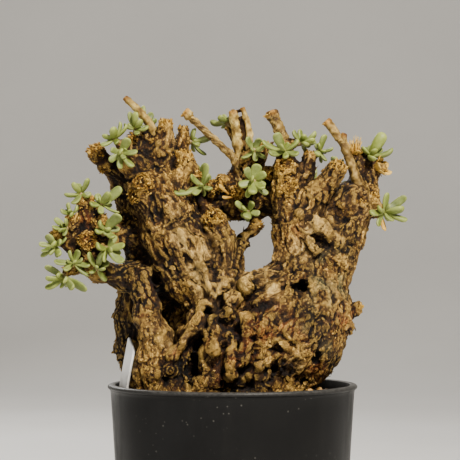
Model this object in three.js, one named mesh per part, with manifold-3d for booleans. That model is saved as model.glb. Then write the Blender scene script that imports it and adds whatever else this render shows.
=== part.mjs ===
// A potted Ceraria pygmaea: a knobbly caudex with short leafy shoots, standing in a plain round pot.
// Millimetres, +Z up. The origin is the centre of the pot's base, +X is right and +Y is the back.
import * as THREE from 'three';
import { mergeVertices } from 'three/addons/utils/BufferGeometryUtils.js';
import { LoftGeometry } from 'three/addons/geometries/LoftGeometry.js';
import { ImprovedNoise } from 'three/addons/math/ImprovedNoise.js';
import { edgeTable, triTable } from 'three/addons/objects/MarchingCubes.js';
import Module from 'manifold-3d';

const wasm = await Module();
wasm.setup();

// Pot
const POT_HEIGHT = 80;
const RIM_RADIUS = 45;
const BASE_RADIUS = 39;
const WALL = 1.8;
const FLOOR = 2.5;
const LIP_PROUD = 1;
const LIP_HEIGHT = 1.8;
const LIP_CHAMFER = 0.5;
const POT_SIDES = 40;
const DRAIN_COUNT = 6;
const DRAIN_SIDES = 12;
const DRAIN_RADIUS = 2.6;
const DRAIN_RING = 26;

// Soil
const SOIL_LEVEL = 76.2;
const GRAIN_COUNT = 12;
const GRAIN_SIZE = [1.1, 1.9];
const GRAIN_RISE = 0.45;
const GRAIN_CLEARANCE = 1.2;
const GRAIN_SPREAD = [0.25, 1];
const SOIL_CROWN = 0.8;
// Two large grains at the right of the trunk [x, y, size]
const LARGE_GRAINS = [[31.5, -4, 1.8], [28.5, -9, 1.4]];
const FIT_GAP = 0.3;

// Caudex
const CAUDEX_BOTTOM = 65;
const CAUDEX_LOW = [-67.5, -30, 62.5];
const CAUDEX_HIGH = [60, 34, 178];
const GRID_STEP = 1.25;
const TWIG_SIDES = 6;
const UPRIGHT_LIMIT = 0.05;
const LIMB_BLEND = 3;
const KNOB_BLEND = 1.6;
const CARVE_BLEND = 1.4;
const CAUDEX_TRIANGLES = 5400;
const SOCKET_GAP = 1;
const SOCKET_STEP = 2;
const SOCKET_TOP = 79;
const SOCKET_TRIANGLES = 320;
const SKIN_GAP = 0.55;

// Bark relief
const LUMP_SIZE = 7;
const LUMP_RELIEF = 1.3;
const FLUTE_SIZE = 4.2;
const FLUTE_STRETCH = 3.5;
const FLUTE_RELIEF = 1;
const FLUTE_SHIFT = 40;
const RELIEF_FADE = 4;
const RELIEF_REACH = 4;
const LEVEL_NUDGE = 1e-3;

// Bud stalks
const STALK_RADII = [2.2, 1.5];
const STALK_SHORT = 1.9;

// Reduction of the caudex's surface
const HOLD_SHARE = 0.002;
const EVENNESS = 0.0002;
const TURN_LIMIT = 0.35;
const SLIVER_LIMIT = 0.05;

// Label
const LABEL_WIDTH = 9;
const LABEL_THICKNESS = 0.8;
const LABEL_BOTTOM = 69;
const LABEL_TOP = 97.2;
const LABEL_MIDDLE = 80;
const LABEL_PLACE = [-38.6, -7];
const LABEL_SLANT = 4;
const LABEL_POINT = 8;
const LABEL_TURN = -1.22;
const LABEL_LEAN = 0.17;

// Leafy shoots
const LEAF_SIDES = 4;
const LEAF_RINGS = [0, 0.62, 1];
const LEAF_PROFILE = [0.6, 1.35, 0.95];
const LEAF_FLATNESS = 0.85;
const LEAF_ROOT = 0.5;
const LEAF_DROOP = 0.04;
const SHOOT_CORE = 1.7;
const BACK_LEAF_LENGTH = [6.5, 9];
const BACK_LEAF_WIDTH = [2.8, 3.8];
const BACK_LEAF_TURN = 1.95;
const BACK_TURN_SLACK = [-0.3, 0.3];
const BACK_SPREAD = [0.55, 1.25];
const BACK_CLOSING = 0.4;

// Limbs of the caudex. Each is a chain of points [x, y, z, radius] along its axis.
const TRUNK = [
  // right body, from the root to the shoulder of the right arm
  [[10, 1, 66, 16], [10, -1.5, 83, 17.5], [19.5, -2, 99, 20.6], [24, -2, 107, 18.5], [27, -1, 117, 14.5]],
  // left and middle body
  [[-10, 3, 66, 15], [-8, -2, 84, 15.5], [-5, -4, 98, 14.5], [0, -4, 110, 10.5]],
  // columns of the left side, the front one and the one behind it
  [[-29, -11, 72, 6], [-28.8, -12, 87, 5.6], [-26.5, -12.5, 97, 5], [-30, -10, 105, 5], [-32, -6, 117, 5]],
  [[-27, 7, 66, 8], [-29.5, 7.5, 80, 7.6], [-33.5, 8, 91, 8], [-34.5, 9, 102, 8], [-32, 8, 118, 8.5]],
  // strut that crosses the hollow of the left side
  [[-9.5, -16, 108, 2.6], [-13.5, -18, 101, 1.9], [-18, -18, 95.5, 1.5], [-21, -17, 90.5, 2.2]],
  // foot of the left side
  [[-20, -9, 70, 9], [-20, -8, 84, 8]],
  // saddle under the opening
  [[0, -8, 115, 5], [8, -8, 115.4, 4.6], [16, -8, 117, 6]],
  // back of the body
  [[-14, 12, 66, 10], [-16, 12, 92, 11], [-12, 10, 110, 10]],
  [[14, 12, 66, 11], [18, 13, 92, 11.5], [22, 9, 110, 11]],
];
const ARMS = [
  // big left arm and its forks
  [[-5, -6, 107, 7], [-13, -6, 121, 8.5], [-21.5, -4, 136, 10], [-28, -2, 149, 9.5], [-31, -1, 156, 6.5]],
  [[-12, -5, 108, 6], [-17.5, -5, 119, 8], [-25, -4, 134, 7.5]],
  [[-29, 0, 152, 7], [-36, -4, 160, 4.5], [-38, -5.5, 164, 3]],
  [[-26, -1, 155, 5.5], [-25, -3, 164, 3.6], [-24, -3, 171, 2.8]],
  [[-20, -2, 146, 7], [-16.5, -4, 157, 4.4]],
  [[-22, 2, 152, 5], [-19, 2, 163, 2.6], [-17.8, 1, 169.5, 1.9]],
  [[-29, 0, 157, 4.6], [-32, -3, 167.5, 3]],
  // darker arm behind the left one
  [[-26, 7, 116, 9.5], [-33, 8, 136, 8.5], [-36.5, 6, 151, 6.5], [-44, 2, 158, 3], [-47.5, -1, 161, 2.6]],
  // low arm that carries the left cluster
  [[-26, 0, 121, 6.5], [-38, -2, 118, 4.2], [-48, -6, 121, 3.6], [-52, -8, 128, 3.1], [-52, -9, 141, 2.2]],
  [[-36, 3, 134, 6], [-43, -2, 132, 3.6], [-50, -8, 130, 3]],
  [[-53, -8, 129, 2.8], [-57, -10, 137, 1.9]],
  [[-54, -8, 126, 2.6], [-61, -9, 132, 1.8]],
  [[-53, -8, 123, 2.6], [-58, -10, 121, 2]],
  // pillar left of the opening
  [[-3, -9, 107, 5], [-2.6, -9.5, 121, 3.8], [-3, -8, 131, 4.1], [-6.5, -6, 138, 4.2]],
  // spur that leans across the opening's upper left
  [[1, 0, 120, 3], [1.8, 1, 126, 2.6], [4, 2, 131.5, 2.3], [8.4, 3, 136, 2.1]],
  // right wall of the opening and the middle arm
  [[23, -3, 122, 9.5], [21.5, -3, 136, 7], [19.5, -3, 149, 5], [19.3, -2, 157, 3.8], [18.6, 0, 166, 2.4]],
  [[20.5, 0, 147, 4.6], [26, -1, 155, 3], [27.4, -2, 160.5, 2.3]],
  // bridge over the opening and the short stem on it
  [[-18, 5, 141, 7], [-6, 8, 145, 6], [8, 8, 145.5, 6], [14, 6, 148, 5.5], [20, 3, 145, 6]],
  [[1, 6, 146, 6], [4, 4, 155, 4.4], [5, 2, 161, 3.2]],
  [[6, 5, 152, 3], [11, 2, 163, 1.9]],
  // right arm and its forks
  [[27, -1, 118, 14], [33, 0, 126, 11], [38, 1, 136, 9.5], [43, 3, 144, 8], [47, 5, 147, 6]],
  [[25, -5, 138, 5.5], [29, -7, 147, 4.2], [36, -8, 155.5, 3.9]],
  [[46, 6, 148, 4.4], [45.5, 9, 162, 3]],
  [[48, 6, 148, 4.2], [50.5, 8, 158.5, 2.9]],
  [[45, 1, 146, 4.6], [52, 1, 143, 3]],
  // arms of the back
  [[-12, 10, 106, 11], [-12, 17, 123, 8.5], [-15, 20, 136, 6.5], [-12, 22, 147, 4]],
  [[-15, 20, 134, 5], [-22, 25, 142, 2.8]],
  [[22, 8, 106, 12], [25, 16, 121, 9], [25, 20, 135, 6.5], [29, 22, 145, 4]],
  [[25, 20, 132, 5], [18, 26, 141, 3]],
  [[-18, 12, 96, 11], [-26, 19, 103, 6.5], [-32, 25, 110, 3.6]],
  [[32, 6, 110, 10], [36, 15, 121, 5.5], [38, 20, 129, 3.2]],
];
// Raised ribs on the front: the sharp ridges of the right arm and the ribs of the lower middle
const RIBS = [
  [[25, -10, 141, 2.6], [31, -11.5, 137, 2.4], [37, -9.5, 131, 2.6]],
  [[24.5, -11, 135, 1.8], [30, -14, 128, 1.6]],
  [[-6.5, -19.5, 104, 2.1], [-6.5, -20, 93, 2.2]],
  [[-0.5, -20, 98, 2], [-0.5, -19.5, 84, 2.4]],
  [[5, -20, 104, 2.2], [4, -19.5, 88, 2.2]],
  [[17.5, -19, 109, 2.6], [11, -20.5, 101.5, 2.9]],
  [[-26, -6, 158, 1.6], [-23, -13.5, 142, 2], [-14, -15, 131, 2.2], [-6, -14.5, 113, 2.6]],
];
// Rounded knobs and scar rings [x, y, z, radius]
const KNOBS = [
  [-4, -13.5, 117, 3.6], [4.5, -15, 115.5, 3.2], [0, -17, 111, 3], [10.5, -16, 110, 3.2],
  [-2, -18.5, 106, 2.6], [-22, -15.5, 86, 3], [-6.3, -8, 138.5, 4], [43.5, -3, 107, 3],
  [-52, -8.5, 144.3, 3.3], [-47.5, -9, 138, 3.4], [-56.5, -10, 138, 2.9], [-51.5, -11, 131.5, 3.6],
  [-62, -9.5, 133.5, 2.5], [-58.5, -8.5, 132, 2.4], [-48.8, -1.5, 163, 3.3], [-45.5, 0, 158, 2.2],
  [-24, -3, 172.3, 2.8], [-17.8, 1, 170.5, 2.3], [-17.5, -4.5, 160, 4], [-14.5, -4, 155, 3],
  [-31, -9.5, 151, 4.2], [-33.5, -8, 147.5, 3.2], [-30, -3, 166.5, 2.6], [-35.5, -5, 168, 2.2],
  [37, -9, 156.8, 3.3], [19, -5.5, 157, 4], [19.5, -6, 150.5, 3.9], [12.4, 0, 156, 2.4],
  [11, 2, 165, 2], [27.3, -2, 161.5, 2], [-3, 2, 152, 3.2], [-7, 0, 150, 2.8],
  [2, 0, 149, 2.8], [8.8, 3, 136.5, 2.2], [45, -2, 145.5, 3.4], [50, 0, 146.5, 2.6],
  [53.5, 8, 157.5, 2.6], [-22, 25, 143, 2.8], [-12, 22.5, 149, 3], [29, 22.5, 147, 3],
  [18, 26.5, 142.5, 3], [-6, 21, 96, 4], [9, 22, 101, 4.5], [24, 23, 92, 4], [-20, 22, 88, 4],
  [2, 17, 114, 4], [41, 9, 100, 3.4], [-41, 14, 92, 3], [14, 20, 120, 3], [-36.5, 15.5, 112, 3.2],
];
// Openings and hollows, cut out along their axes
const CARVINGS = [
  // opening under the bridge, which runs back to the right
  [[7.2, -22, 127, 5.6], [8, -6, 127, 4.9], [11, 12, 126.5, 4.8], [13, 32, 127, 6.5]],
  // gap between the big left arm and the pillar
  [[-10, -12, 139, 2.4], [-8.4, -14, 127, 1.3], [-6.2, -17, 117, 0.9]],
  // hollow of the left side, and the gap beside the strut
  [[-20.8, -24, 104.5, 4.6], [-20.5, -6, 105.5, 4.8]],
  [[-13.5, -24, 97, 2.4], [-11.5, -12, 95, 2.6]],
  [[-8.6, -24, 106.5, 1.5], [-8.8, -15, 106.5, 1.7]],
  [[-13, -24, 90, 2.3], [-12.6, -13, 90, 2.1]],
  [[-15, -24, 85.5, 3.3], [-14, -13, 86, 2.6]],
  [[-20.6, -24, 98, 1.9], [-20, -11, 98, 2.2]],
  [[-17, -24, 79.5, 2.2], [-16, -15, 80, 2]],
  [[-28, -18, 121, 2.2], [-27, -6, 119, 2.4]],
  [[-27, -13, 119, 1.7], [-25, -14, 110, 1.6]],
  // slots between the ribs of the lower middle
  [[-1.9, -24, 101, 1], [-1.6, -21, 95, 1.2]],
  [[2, -23, 94, 0.9], [2.2, -21, 80, 1.2]],
  [[4.5, -25, 80.5, 2], [4.5, -18, 80.5, 1.8]],
  [[5, -25, 87, 1.4], [5, -19, 87, 1.4]],
  // hollows of the right side
  [[24, -26, 115, 3.6], [24, -14, 114.8, 2.4]],
  [[17.6, -24, 115.8, 1.2], [18, -14, 115.8, 1.4]],
  [[16, -26, 94, 2.6], [16, -19, 94, 1.2]],
  [[14, -25, 86, 3.2], [14.5, -15, 87, 1.5]],
  [[29.5, -22, 90, 2.8], [28, -13, 90, 1.3]],
  [[26, -22, 81, 2.8], [24, -12, 82, 1.4]],
  [[19, -21, 122.5, 0.9], [31, -17, 122, 1.2]],
  [[30, -16, 131.5, 1.6], [31, -8, 132, 1.8]],
  [[38, -16, 140.5, 3.4], [38, -7.5, 141, 3.2]],
  // hollows of the back
  [[-6, 32, 104, 4], [-5, 20, 105, 3.4]],
  [[2, 32, 86, 3], [2, 19, 86, 2.6]],
  [[31, 26, 101, 3], [29, 17, 102, 2.6]],
  [[-25, 26, 92, 3], [-24, 17, 94, 2.4]],
];
// Dry twigs and bare shoots: axis points, then the radius at the start and at the end
const TWIGS = [
  { path: [[-27.5, -2, 163], [-28.6, -2, 171], [-33.3, -3, 177.7], [-38.3, -3, 182.6]], radii: [2, 1.2] },
  { path: [[3.5, 1, 150], [0.6, 0, 160.5], [-7.5, -1, 168.6], [-16, -2, 176.6]], radii: [1.7, 1.2] },
  { path: [[-15.2, -2, 175.9], [-17, -2.1, 177.4]], radii: [1.9, 1.6] },
  { path: [[4, 2, 158], [2.4, 1.5, 166], [0.4, 1.5, 179]], radii: [2.3, 1.8] },
  { path: [[5.5, 1, 159], [5.6, 0, 166], [3.4, 0, 179.6]], radii: [1.5, 1.1] },
  { path: [[19, 0, 163], [17.6, 0.5, 169.5], [14.6, 1, 176.6]], radii: [2.2, 1.5] },
  { path: [[15.1, 0.9, 175.2], [14.2, 1.1, 177.2]], radii: [1.6, 2.2] },
  { path: [[48, 2, 146], [44.5, 1, 154], [40.3, 0, 165], [38, 0, 168.8]], radii: [2.4, 1.3] },
  { path: [[39.6, 0, 166.6], [39.9, -0.4, 168.6], [40.2, -0.6, 169.6]], radii: [1.3, 1.2] },
  { path: [[38.6, 0, 167.8], [36.3, 0, 171.4], [34, 0, 174.2]], radii: [1.4, 1.3] },
  { path: [[42.6, -2, 106.5], [46.3, -3, 105.9]], radii: [1.8, 0.5] },
];

// Leafy shoots: the point that the leaves spring from, and each leaf as [dx, dy, dz, width] to its tip
const SHOOTS = {
  left_top: {
    at: [-53.8, -9, 148.2],
    leaves: [
      [2.6, -2.5, 5.4, 2.8], [-1.8, 3.5, 3.6, 2.8], [-6, -1.5, -0.2, 2.8], [-2.8, -4, -3.6, 3],
      [3.4, -4.2, -0.4, 2.8],
    ],
  },
  left_upper: {
    at: [-46.4, -10.5, 144.4],
    leaves: [
      [7, -1, 6, 4], [3, -4.5, 4.2, 3.2], [-1.8, 1.5, 3.8, 3.2], [-4, -3, 0.4, 2.8],
      [6.4, -2.5, -3, 2.4],
    ],
  },
  left_inner: {
    at: [-44.8, -13.5, 135.3],
    leaves: [[5.2, -3, 5.2, 4.2], [-1.8, -3.5, 3, 3], [-3.4, -3, -0.4, 2.8], [3.2, -3.5, -2.6, 3]],
  },
  left_front: {
    at: [-44.1, -14.5, 128.6],
    leaves: [
      [-3.4, -4.6, 1.6, 3.4], [6.2, -2.2, 1.4, 3.2], [5.8, -2.6, -4.6, 3.6], [4.8, 1, -1.6, 2.6],
      [-1, -3.4, -4.6, 2.8],
    ],
  },
  left_hanging: {
    at: [-47.9, -12.5, 121.6],
    leaves: [[-2.9, -2.8, 5.8, 2.8], [2.4, -3, 6, 2.8], [4.2, 0.5, 2.4, 2.8]],
  },
  left_ring: {
    at: [-57.2, -11, 141],
    leaves: [[-1, -1, 4, 2.6], [2.2, -3, 2.6, 2.6], [-3.6, -2, 1.4, 2.4]],
  },
  left_outer: {
    at: [-58.8, -11.5, 136],
    leaves: [[-4.2, -1, 3.4, 2.4], [-5, -2, 0.6, 2.6], [-2.4, -3.8, -0.8, 2.4]],
  },
  left_tip: {
    at: [-63, -11, 129.6],
    leaves: [
      [-2.8, -1.5, 4, 3.6], [-0.2, -5, 1, 3], [-5.6, -1.2, 0.8, 2.2], [-4.6, -3, -1.8, 2.2],
      [-5, 0, -3.8, 2.2], [2.4, -4, 1.8, 2.6], [4.2, -1.5, 3, 2.6], [2, -3.6, -3.4, 2.6],
      [-1.6, -3.8, -3, 2.4],
    ],
  },
  left_low: {
    at: [-56.2, -13, 123.6],
    leaves: [
      [-1.2, -2, 4.4, 2.8], [1.8, -1, 4.6, 2.8], [-6.8, -2, 0.6, 3], [6, -1, -0.8, 2.6],
      [5.6, 0.6, -4.6, 2.6],
    ],
  },
  left_lowest: {
    at: [-59.6, -12, 118.4],
    leaves: [
      [-6.8, -1.2, 4, 3], [-6.4, -3, 0, 2.6], [-6.8, 0, -3.8, 3], [3.4, -4.4, -4, 3],
      [8.2, -2, -4.6, 3.4], [0.4, -4.6, -1, 2.8],
    ],
  },
  crown_left: {
    at: [-42, -9, 167.6],
    leaves: [
      [-4.2, -2, 1.4, 3], [-0.4, -4.4, 4, 3.4], [2, 0, 6.2, 2.8], [4.6, -2.6, 5, 2.6],
      [-4.8, -2, -2.2, 3],
    ],
  },
  crown_left_low: {
    at: [-39.6, -11, 162.6],
    leaves: [
      [-4, -2, -3, 2.6], [0.4, -4, 0.4, 2.8], [2.8, -3.4, 5, 3.6], [6, -2, 0.4, 2.8], [4.6, -1.5, -5, 3],
    ],
  },
  crown_top: {
    at: [-34.6, -6, 171.4],
    leaves: [
      [0.2, -2, 6, 3], [-2.2, 0.6, 6.2, 2.6], [4.6, -2.2, 0.6, 3.2], [-3.8, -3, 1.6, 2.8],
      [2, -3.6, 3.2, 2.8],
    ],
  },
  crown_behind: {
    at: [-31, 3, 173],
    leaves: [[-1.4, 1, 7.4, 3.4], [1.8, 1.6, 5, 2.8], [3.6, 0.6, 2.4, 2.6]],
  },
  fork_left: {
    at: [-14.6, 1.5, 167],
    leaves: [[7.4, 1.2, 2.6, 4.2], [2.4, -3.4, -1.2, 3], [5.2, 3.4, -4.4, 2.6], [-3, 3.6, 4.4, 2.8]],
  },
  fork_low: {
    at: [-10.8, -6.5, 151],
    leaves: [
      [1.6, -2, 8, 2.8], [2.4, -3.4, 4.2, 2.8], [-10.2, -3.4, -2.6, 3.4], [-3.2, -3.6, -3, 2.8],
      [3.4, -2.6, -1, 2.6],
    ],
  },
  middle_shoot: {
    at: [-2, 5.2, 174.4],
    leaves: [[-6.2, 0.8, 0.4, 3.8], [1.2, 3.4, 2.6, 2.8]],
  },
  middle_right: {
    at: [7.8, -2.4, 164],
    leaves: [[-2.6, -2, 4.6, 2.8], [2, -2.6, 4, 2.8], [3.4, -2.8, 1, 2.6], [-4.6, -3, -3, 2.8]],
  },
  middle_large: {
    at: [18.5, -6, 163.4],
    leaves: [
      [-8, -2.6, 3.6, 3.4], [-3.2, -2.4, 6.4, 3.8], [5, -2.6, 4, 3], [-5.6, -4, -0.6, 3.2],
      [0.4, -4.6, -2.4, 2.6], [5, -3.4, -1, 3],
    ],
  },
  middle_high: {
    at: [25, -1, 166.6],
    leaves: [
      [-3.2, -2, 4.4, 3.2], [-0.6, 1.6, 5, 2.8], [4.8, -2, 4, 4], [1.6, -4.6, -0.4, 3],
      [4.2, -4, 1.4, 3.2], [5, 3, 0.6, 3],
    ],
  },
  right_high: {
    at: [31.6, 0.5, 163.6],
    leaves: [
      [1.8, -1.5, 6, 3.2], [4.6, -2, 1.2, 2.6], [-1.4, -4, -1.2, 3.2], [2, -3.6, -3.4, 2.4],
      [-1, 4, 3, 2.8],
    ],
  },
  right_small: {
    at: [37, 2, 158.4],
    leaves: [[0.2, -2.6, 3.2, 3], [3, 0.4, 2.4, 2.6]],
  },
  heart_upper: {
    at: [7.6, -6, 152.8],
    leaves: [
      [-2.8, -2, 4.6, 3.4], [1.4, -1.6, 6, 4.2], [4.2, -2.4, 2.8, 3.2], [-5.4, -2, -1.6, 3.4],
      [-0.6, -4.4, -4.6, 3.8], [3.6, -4, -2.6, 3], [-2.6, -1.4, -6, 2.4], [5, -1, -4.8, 2.6],
    ],
  },
  heart_lower: {
    at: [5.4, -4, 142],
    leaves: [
      [-4.4, -1.5, 3.4, 2.6], [-0.2, -4.6, -2.4, 3.6], [1.6, -3.2, 3.4, 2.8], [4.4, -1.6, -0.8, 2.6],
    ],
  },
  right_pair: {
    at: [50, 7, 162.4],
    leaves: [[5, -1.2, 8.2, 4.8], [8.2, -2, 2.4, 4.2], [-3, -2, 3.2, 3], [-1, 5, 3, 3]],
  },
  right_side: {
    at: [54.6, -0.5, 142],
    leaves: [
      [1.2, -0.5, 6.8, 3], [8, 1, 5.4, 3.2], [6.8, -3.2, 1.4, 4], [8.2, -1.2, -3.2, 3.4],
      [-5.4, -4.2, -0.4, 3.2], [-2.2, -4.6, 1.6, 3], [-2.4, -2, -5.4, 2.6],
    ],
  },
};
// Leafy shoots of the back, which grow by the same habit: origin, direction and number of leaves
const BACK_SHOOTS = {
  back_left_high: { at: [-12, 24.5, 152], grows: [0.1, 0.7, 0.7], leaves: 6 },
  back_left_mid: { at: [-24, 27.5, 144.5], grows: [-0.5, 0.7, 0.4], leaves: 5 },
  back_left_low: { at: [-34.2, 28.2, 111.7], grows: [-0.4, 0.9, 0.1], leaves: 5 },
  back_left_top: { at: [-37, 9.5, 157], grows: [-0.2, 0.8, 0.6], leaves: 5 },
  back_right_high: { at: [30, 24.5, 149.5], grows: [0.3, 0.7, 0.6], leaves: 6 },
  back_right_mid: { at: [17.5, 29, 144], grows: [-0.3, 0.8, 0.5], leaves: 5 },
  back_right_low: { at: [39.5, 23, 130.5], grows: [0.3, 0.9, 0.3], leaves: 4 },
  back_right_top: { at: [46, 13.5, 152], grows: [0.2, 0.9, 0.3], leaves: 4 },
  back_bridge: { at: [2, 13.6, 149.1], grows: [0, 0.8, 0.6], leaves: 5 },
  back_cluster: { at: [-51, -2, 134], grows: [-0.2, 0.9, 0.3], leaves: 5 },
};

const GREEN = { color: 0x8fa25c, roughness: 0.55, metalness: 0 };
const FINISHES = {
  pot: { color: 0x17181a, roughness: 0.42, metalness: 0 },
  soil: { color: 0x3a2c20, roughness: 0.95, metalness: 0 },
  caudex: { color: 0x8a6a42, roughness: 0.85, metalness: 0 },
  label: { color: 0xe9e9e4, roughness: 0.5, metalness: 0 },
};

const noise = new ImprovedNoise();

// A generator of repeatable draws between 0 and 1
function makeDraws(seed) {
  let state = seed;
  return () => {
    state = (state * 16807) % 2147483647;
    return state / 2147483647;
  };
}

function between(draw, [low, high]) {
  return low + (high - low) * draw();
}

// Solids and meshes

function solidFromArrays(positions, triangles) {
  return new wasm.Manifold(new wasm.Mesh({
    numProp: 3,
    vertProperties: Float32Array.from(positions),
    triVerts: Uint32Array.from(triangles),
  }));
}

function solidFromGeometry(geometry) {
  const bare = new THREE.BufferGeometry();
  bare.setAttribute('position', geometry.getAttribute('position'));
  bare.setIndex(geometry.index);
  const merged = mergeVertices(bare, 1e-4);
  return solidFromArrays(merged.attributes.position.array, merged.index.array);
}

function largestBody(solid) {
  const bodies = solid.decompose();
  return bodies.reduce((best, body) => (body.volume() > best.volume() ? body : best));
}

function meshNode(name, solid, finish) {
  const { vertProperties, triVerts } = solid.getMesh();
  const geometry = new THREE.BufferGeometry();
  geometry.setAttribute('position', new THREE.BufferAttribute(vertProperties, 3));
  geometry.setIndex(new THREE.BufferAttribute(triVerts, 1));
  geometry.computeVertexNormals();
  const mesh = new THREE.Mesh(geometry, new THREE.MeshStandardMaterial(finish));
  mesh.name = name;
  return mesh;
}

// A round bar along a list of axis points, its rings given as [share of the length, radius]
function bar(axis, rings, sides, flatness = 1) {
  const curve = new THREE.CatmullRomCurve3(axis.map((point) => new THREE.Vector3(...point)));
  const sections = rings.map(([along, radius]) => {
    const centre = curve.getPoint(along);
    const forward = curve.getTangent(along);
    const side = new THREE.Vector3(0, 0, 1).cross(forward);
    if (side.length() < UPRIGHT_LIMIT) side.set(1, 0, 0);
    side.normalize();
    const up = forward.clone().cross(side).normalize();
    return Array.from({ length: sides }, (_, corner) => {
      const angle = (corner / sides) * 2 * Math.PI;
      return centre.clone()
        .addScaledVector(side, radius * Math.cos(angle))
        .addScaledVector(up, radius * flatness * Math.sin(angle));
    });
  });
  return solidFromGeometry(new LoftGeometry(sections, { capStart: true, capEnd: true }));
}

// The caudex as a signed distance: negative inside, in millimetres

function segmentsOf(chains) {
  return chains.flatMap((chain) => chain.slice(1).map((end, step) => {
    const start = chain[step];
    const axis = [end[0] - start[0], end[1] - start[1], end[2] - start[2]];
    const lengthSquared = axis[0] ** 2 + axis[1] ** 2 + axis[2] ** 2;
    return { start, axis, lengthSquared, growth: end[3] - start[3] };
  }));
}

function segmentDistance(segment, x, y, z) {
  const { start, axis, lengthSquared, growth } = segment;
  const dx = x - start[0];
  const dy = y - start[1];
  const dz = z - start[2];
  const raw = (dx * axis[0] + dy * axis[1] + dz * axis[2]) / lengthSquared;
  const along = Math.min(1, Math.max(0, raw));
  const gap = Math.hypot(dx - along * axis[0], dy - along * axis[1], dz - along * axis[2]);
  return gap - (start[3] + along * growth);
}

function smoothMin(a, b, blend) {
  const overlap = Math.max(blend - Math.abs(a - b), 0) / blend;
  return Math.min(a, b) - (overlap * overlap * blend) / 4;
}

// A bud stalk runs from the nearest limb to just short of each leafy shoot
function budStalk(at, limbs) {
  let best = null;
  let bestDistance = Infinity;
  for (const segment of limbs) {
    const distance = segmentDistance(segment, ...at);
    if (distance < bestDistance) {
      bestDistance = distance;
      best = segment;
    }
  }
  const { start, axis, lengthSquared } = best;
  const reach = axis.reduce((sum, value, k) => sum + (at[k] - start[k]) * value, 0);
  const along = Math.min(1, Math.max(0, reach / lengthSquared));
  const foot = axis.map((value, k) => start[k] + along * value);
  const span = Math.hypot(...at.map((value, k) => value - foot[k]));
  const stop = Math.max(0, 1 - STALK_SHORT / span);
  const tip = at.map((value, k) => foot[k] + (value - foot[k]) * stop);
  return [[...foot, STALK_RADII[0]], [...tip, STALK_RADII[1]]];
}

function makeCaudexDistance(limbs, stalks) {
  const thin = segmentsOf([...RIBS, ...stalks]);
  const cuts = segmentsOf(CARVINGS);
  return (x, y, z) => {
    let distance = Infinity;
    for (const limb of limbs) distance = smoothMin(distance, segmentDistance(limb, x, y, z), LIMB_BLEND);
    for (const rib of thin) distance = smoothMin(distance, segmentDistance(rib, x, y, z), KNOB_BLEND);
    for (const knob of KNOBS) {
      const reach = Math.hypot(x - knob[0], y - knob[1], z - knob[2]) - knob[3];
      distance = smoothMin(distance, reach, KNOB_BLEND);
    }
    for (const cut of cuts) distance = -smoothMin(-distance, segmentDistance(cut, x, y, z), CARVE_BLEND);
    if (Math.abs(distance) < RELIEF_REACH) distance -= relief(x, y, z);
    return Math.max(distance, CAUDEX_BOTTOM - z);
  };
}

// Swellings and upright flutes of the bark, which fade out below the soil
function relief(x, y, z) {
  const fade = THREE.MathUtils.smoothstep(z, SOIL_LEVEL - RELIEF_FADE, SOIL_LEVEL + RELIEF_FADE);
  const lumps = noise.noise(x / LUMP_SIZE, y / LUMP_SIZE, z / LUMP_SIZE);
  const upright = z / (FLUTE_STRETCH * FLUTE_SIZE);
  const flutes = noise.noise(x / FLUTE_SIZE + FLUTE_SHIFT, y / FLUTE_SIZE, upright);
  return fade * (LUMP_RELIEF * lumps + FLUTE_RELIEF * flutes);
}

// Corners of a grid cell, and the lower corner and the axis of each of its twelve edges
const CELL_CORNERS = [
  [0, 0, 0], [1, 0, 0], [1, 1, 0], [0, 1, 0], [0, 0, 1], [1, 0, 1], [1, 1, 1], [0, 1, 1],
];
const CELL_EDGES = [
  [0, 0], [1, 1], [3, 0], [0, 1], [4, 0], [5, 1], [7, 0], [4, 1], [0, 2], [1, 2], [2, 2], [3, 2],
];

// Distances sampled on a cubic grid
function sampleGrid(distance, low, high, step) {
  const [nx, ny, nz] = low.map((value, k) => Math.ceil((high[k] - value) / step) + 1);
  const values = new Float32Array(nx * ny * nz);
  let index = 0;
  for (let k = 0; k < nz; k++) {
    for (let j = 0; j < ny; j++) {
      for (let i = 0; i < nx; i++) {
        values[index] = distance(low[0] + i * step, low[1] + j * step, low[2] + k * step);
        index++;
      }
    }
  }
  return { values, low, step, counts: [nx, ny, nz], strides: [1, nx, nx * ny] };
}

// The closed surface on which the sampled distance equals a level
function isosurface(grid, level) {
  const { low, step, counts, strides } = grid;
  const values = grid.values.map((value) => {
    const shifted = value - level;
    return Math.abs(shifted) < LEVEL_NUDGE ? LEVEL_NUDGE : shifted;
  });
  const positions = [];
  const triangles = [];
  const crossings = new Map();
  const cornerSteps = CELL_CORNERS.map((corner) => dot(corner, strides));
  const crossing = (cell, edge) => {
    const [corner, axis] = CELL_EDGES[edge];
    const from = cell + cornerSteps[corner];
    const key = from * 3 + axis;
    if (!crossings.has(key)) {
      const row = Math.floor(from / strides[1]);
      const place = [from % strides[1], row % counts[1], Math.floor(row / counts[1])];
      place[axis] += values[from] / (values[from] - values[from + strides[axis]]);
      crossings.set(key, positions.length / 3);
      positions.push(...place.map((value, k) => low[k] + value * step));
    }
    return crossings.get(key);
  };
  for (let k = 0; k < counts[2] - 1; k++) {
    for (let j = 0; j < counts[1] - 1; j++) {
      for (let i = 0; i < counts[0] - 1; i++) {
        const cell = i + j * strides[1] + k * strides[2];
        let pattern = 0;
        for (let bit = 0; bit < 8; bit++) {
          if (values[cell + cornerSteps[bit]] < 0) pattern |= 1 << bit;
        }
        if (edgeTable[pattern] === 0) continue;
        for (let at = pattern * 16; triTable[at] !== -1; at += 3) {
          const corners = [at, at + 1, at + 2].map((entry) => crossing(cell, triTable[entry]));
          triangles.push(corners[0], corners[2], corners[1]);
        }
      }
    }
  }
  return { positions, triangles };
}

// Fewer triangles, by collapsing the edges that change the shape least

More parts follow.
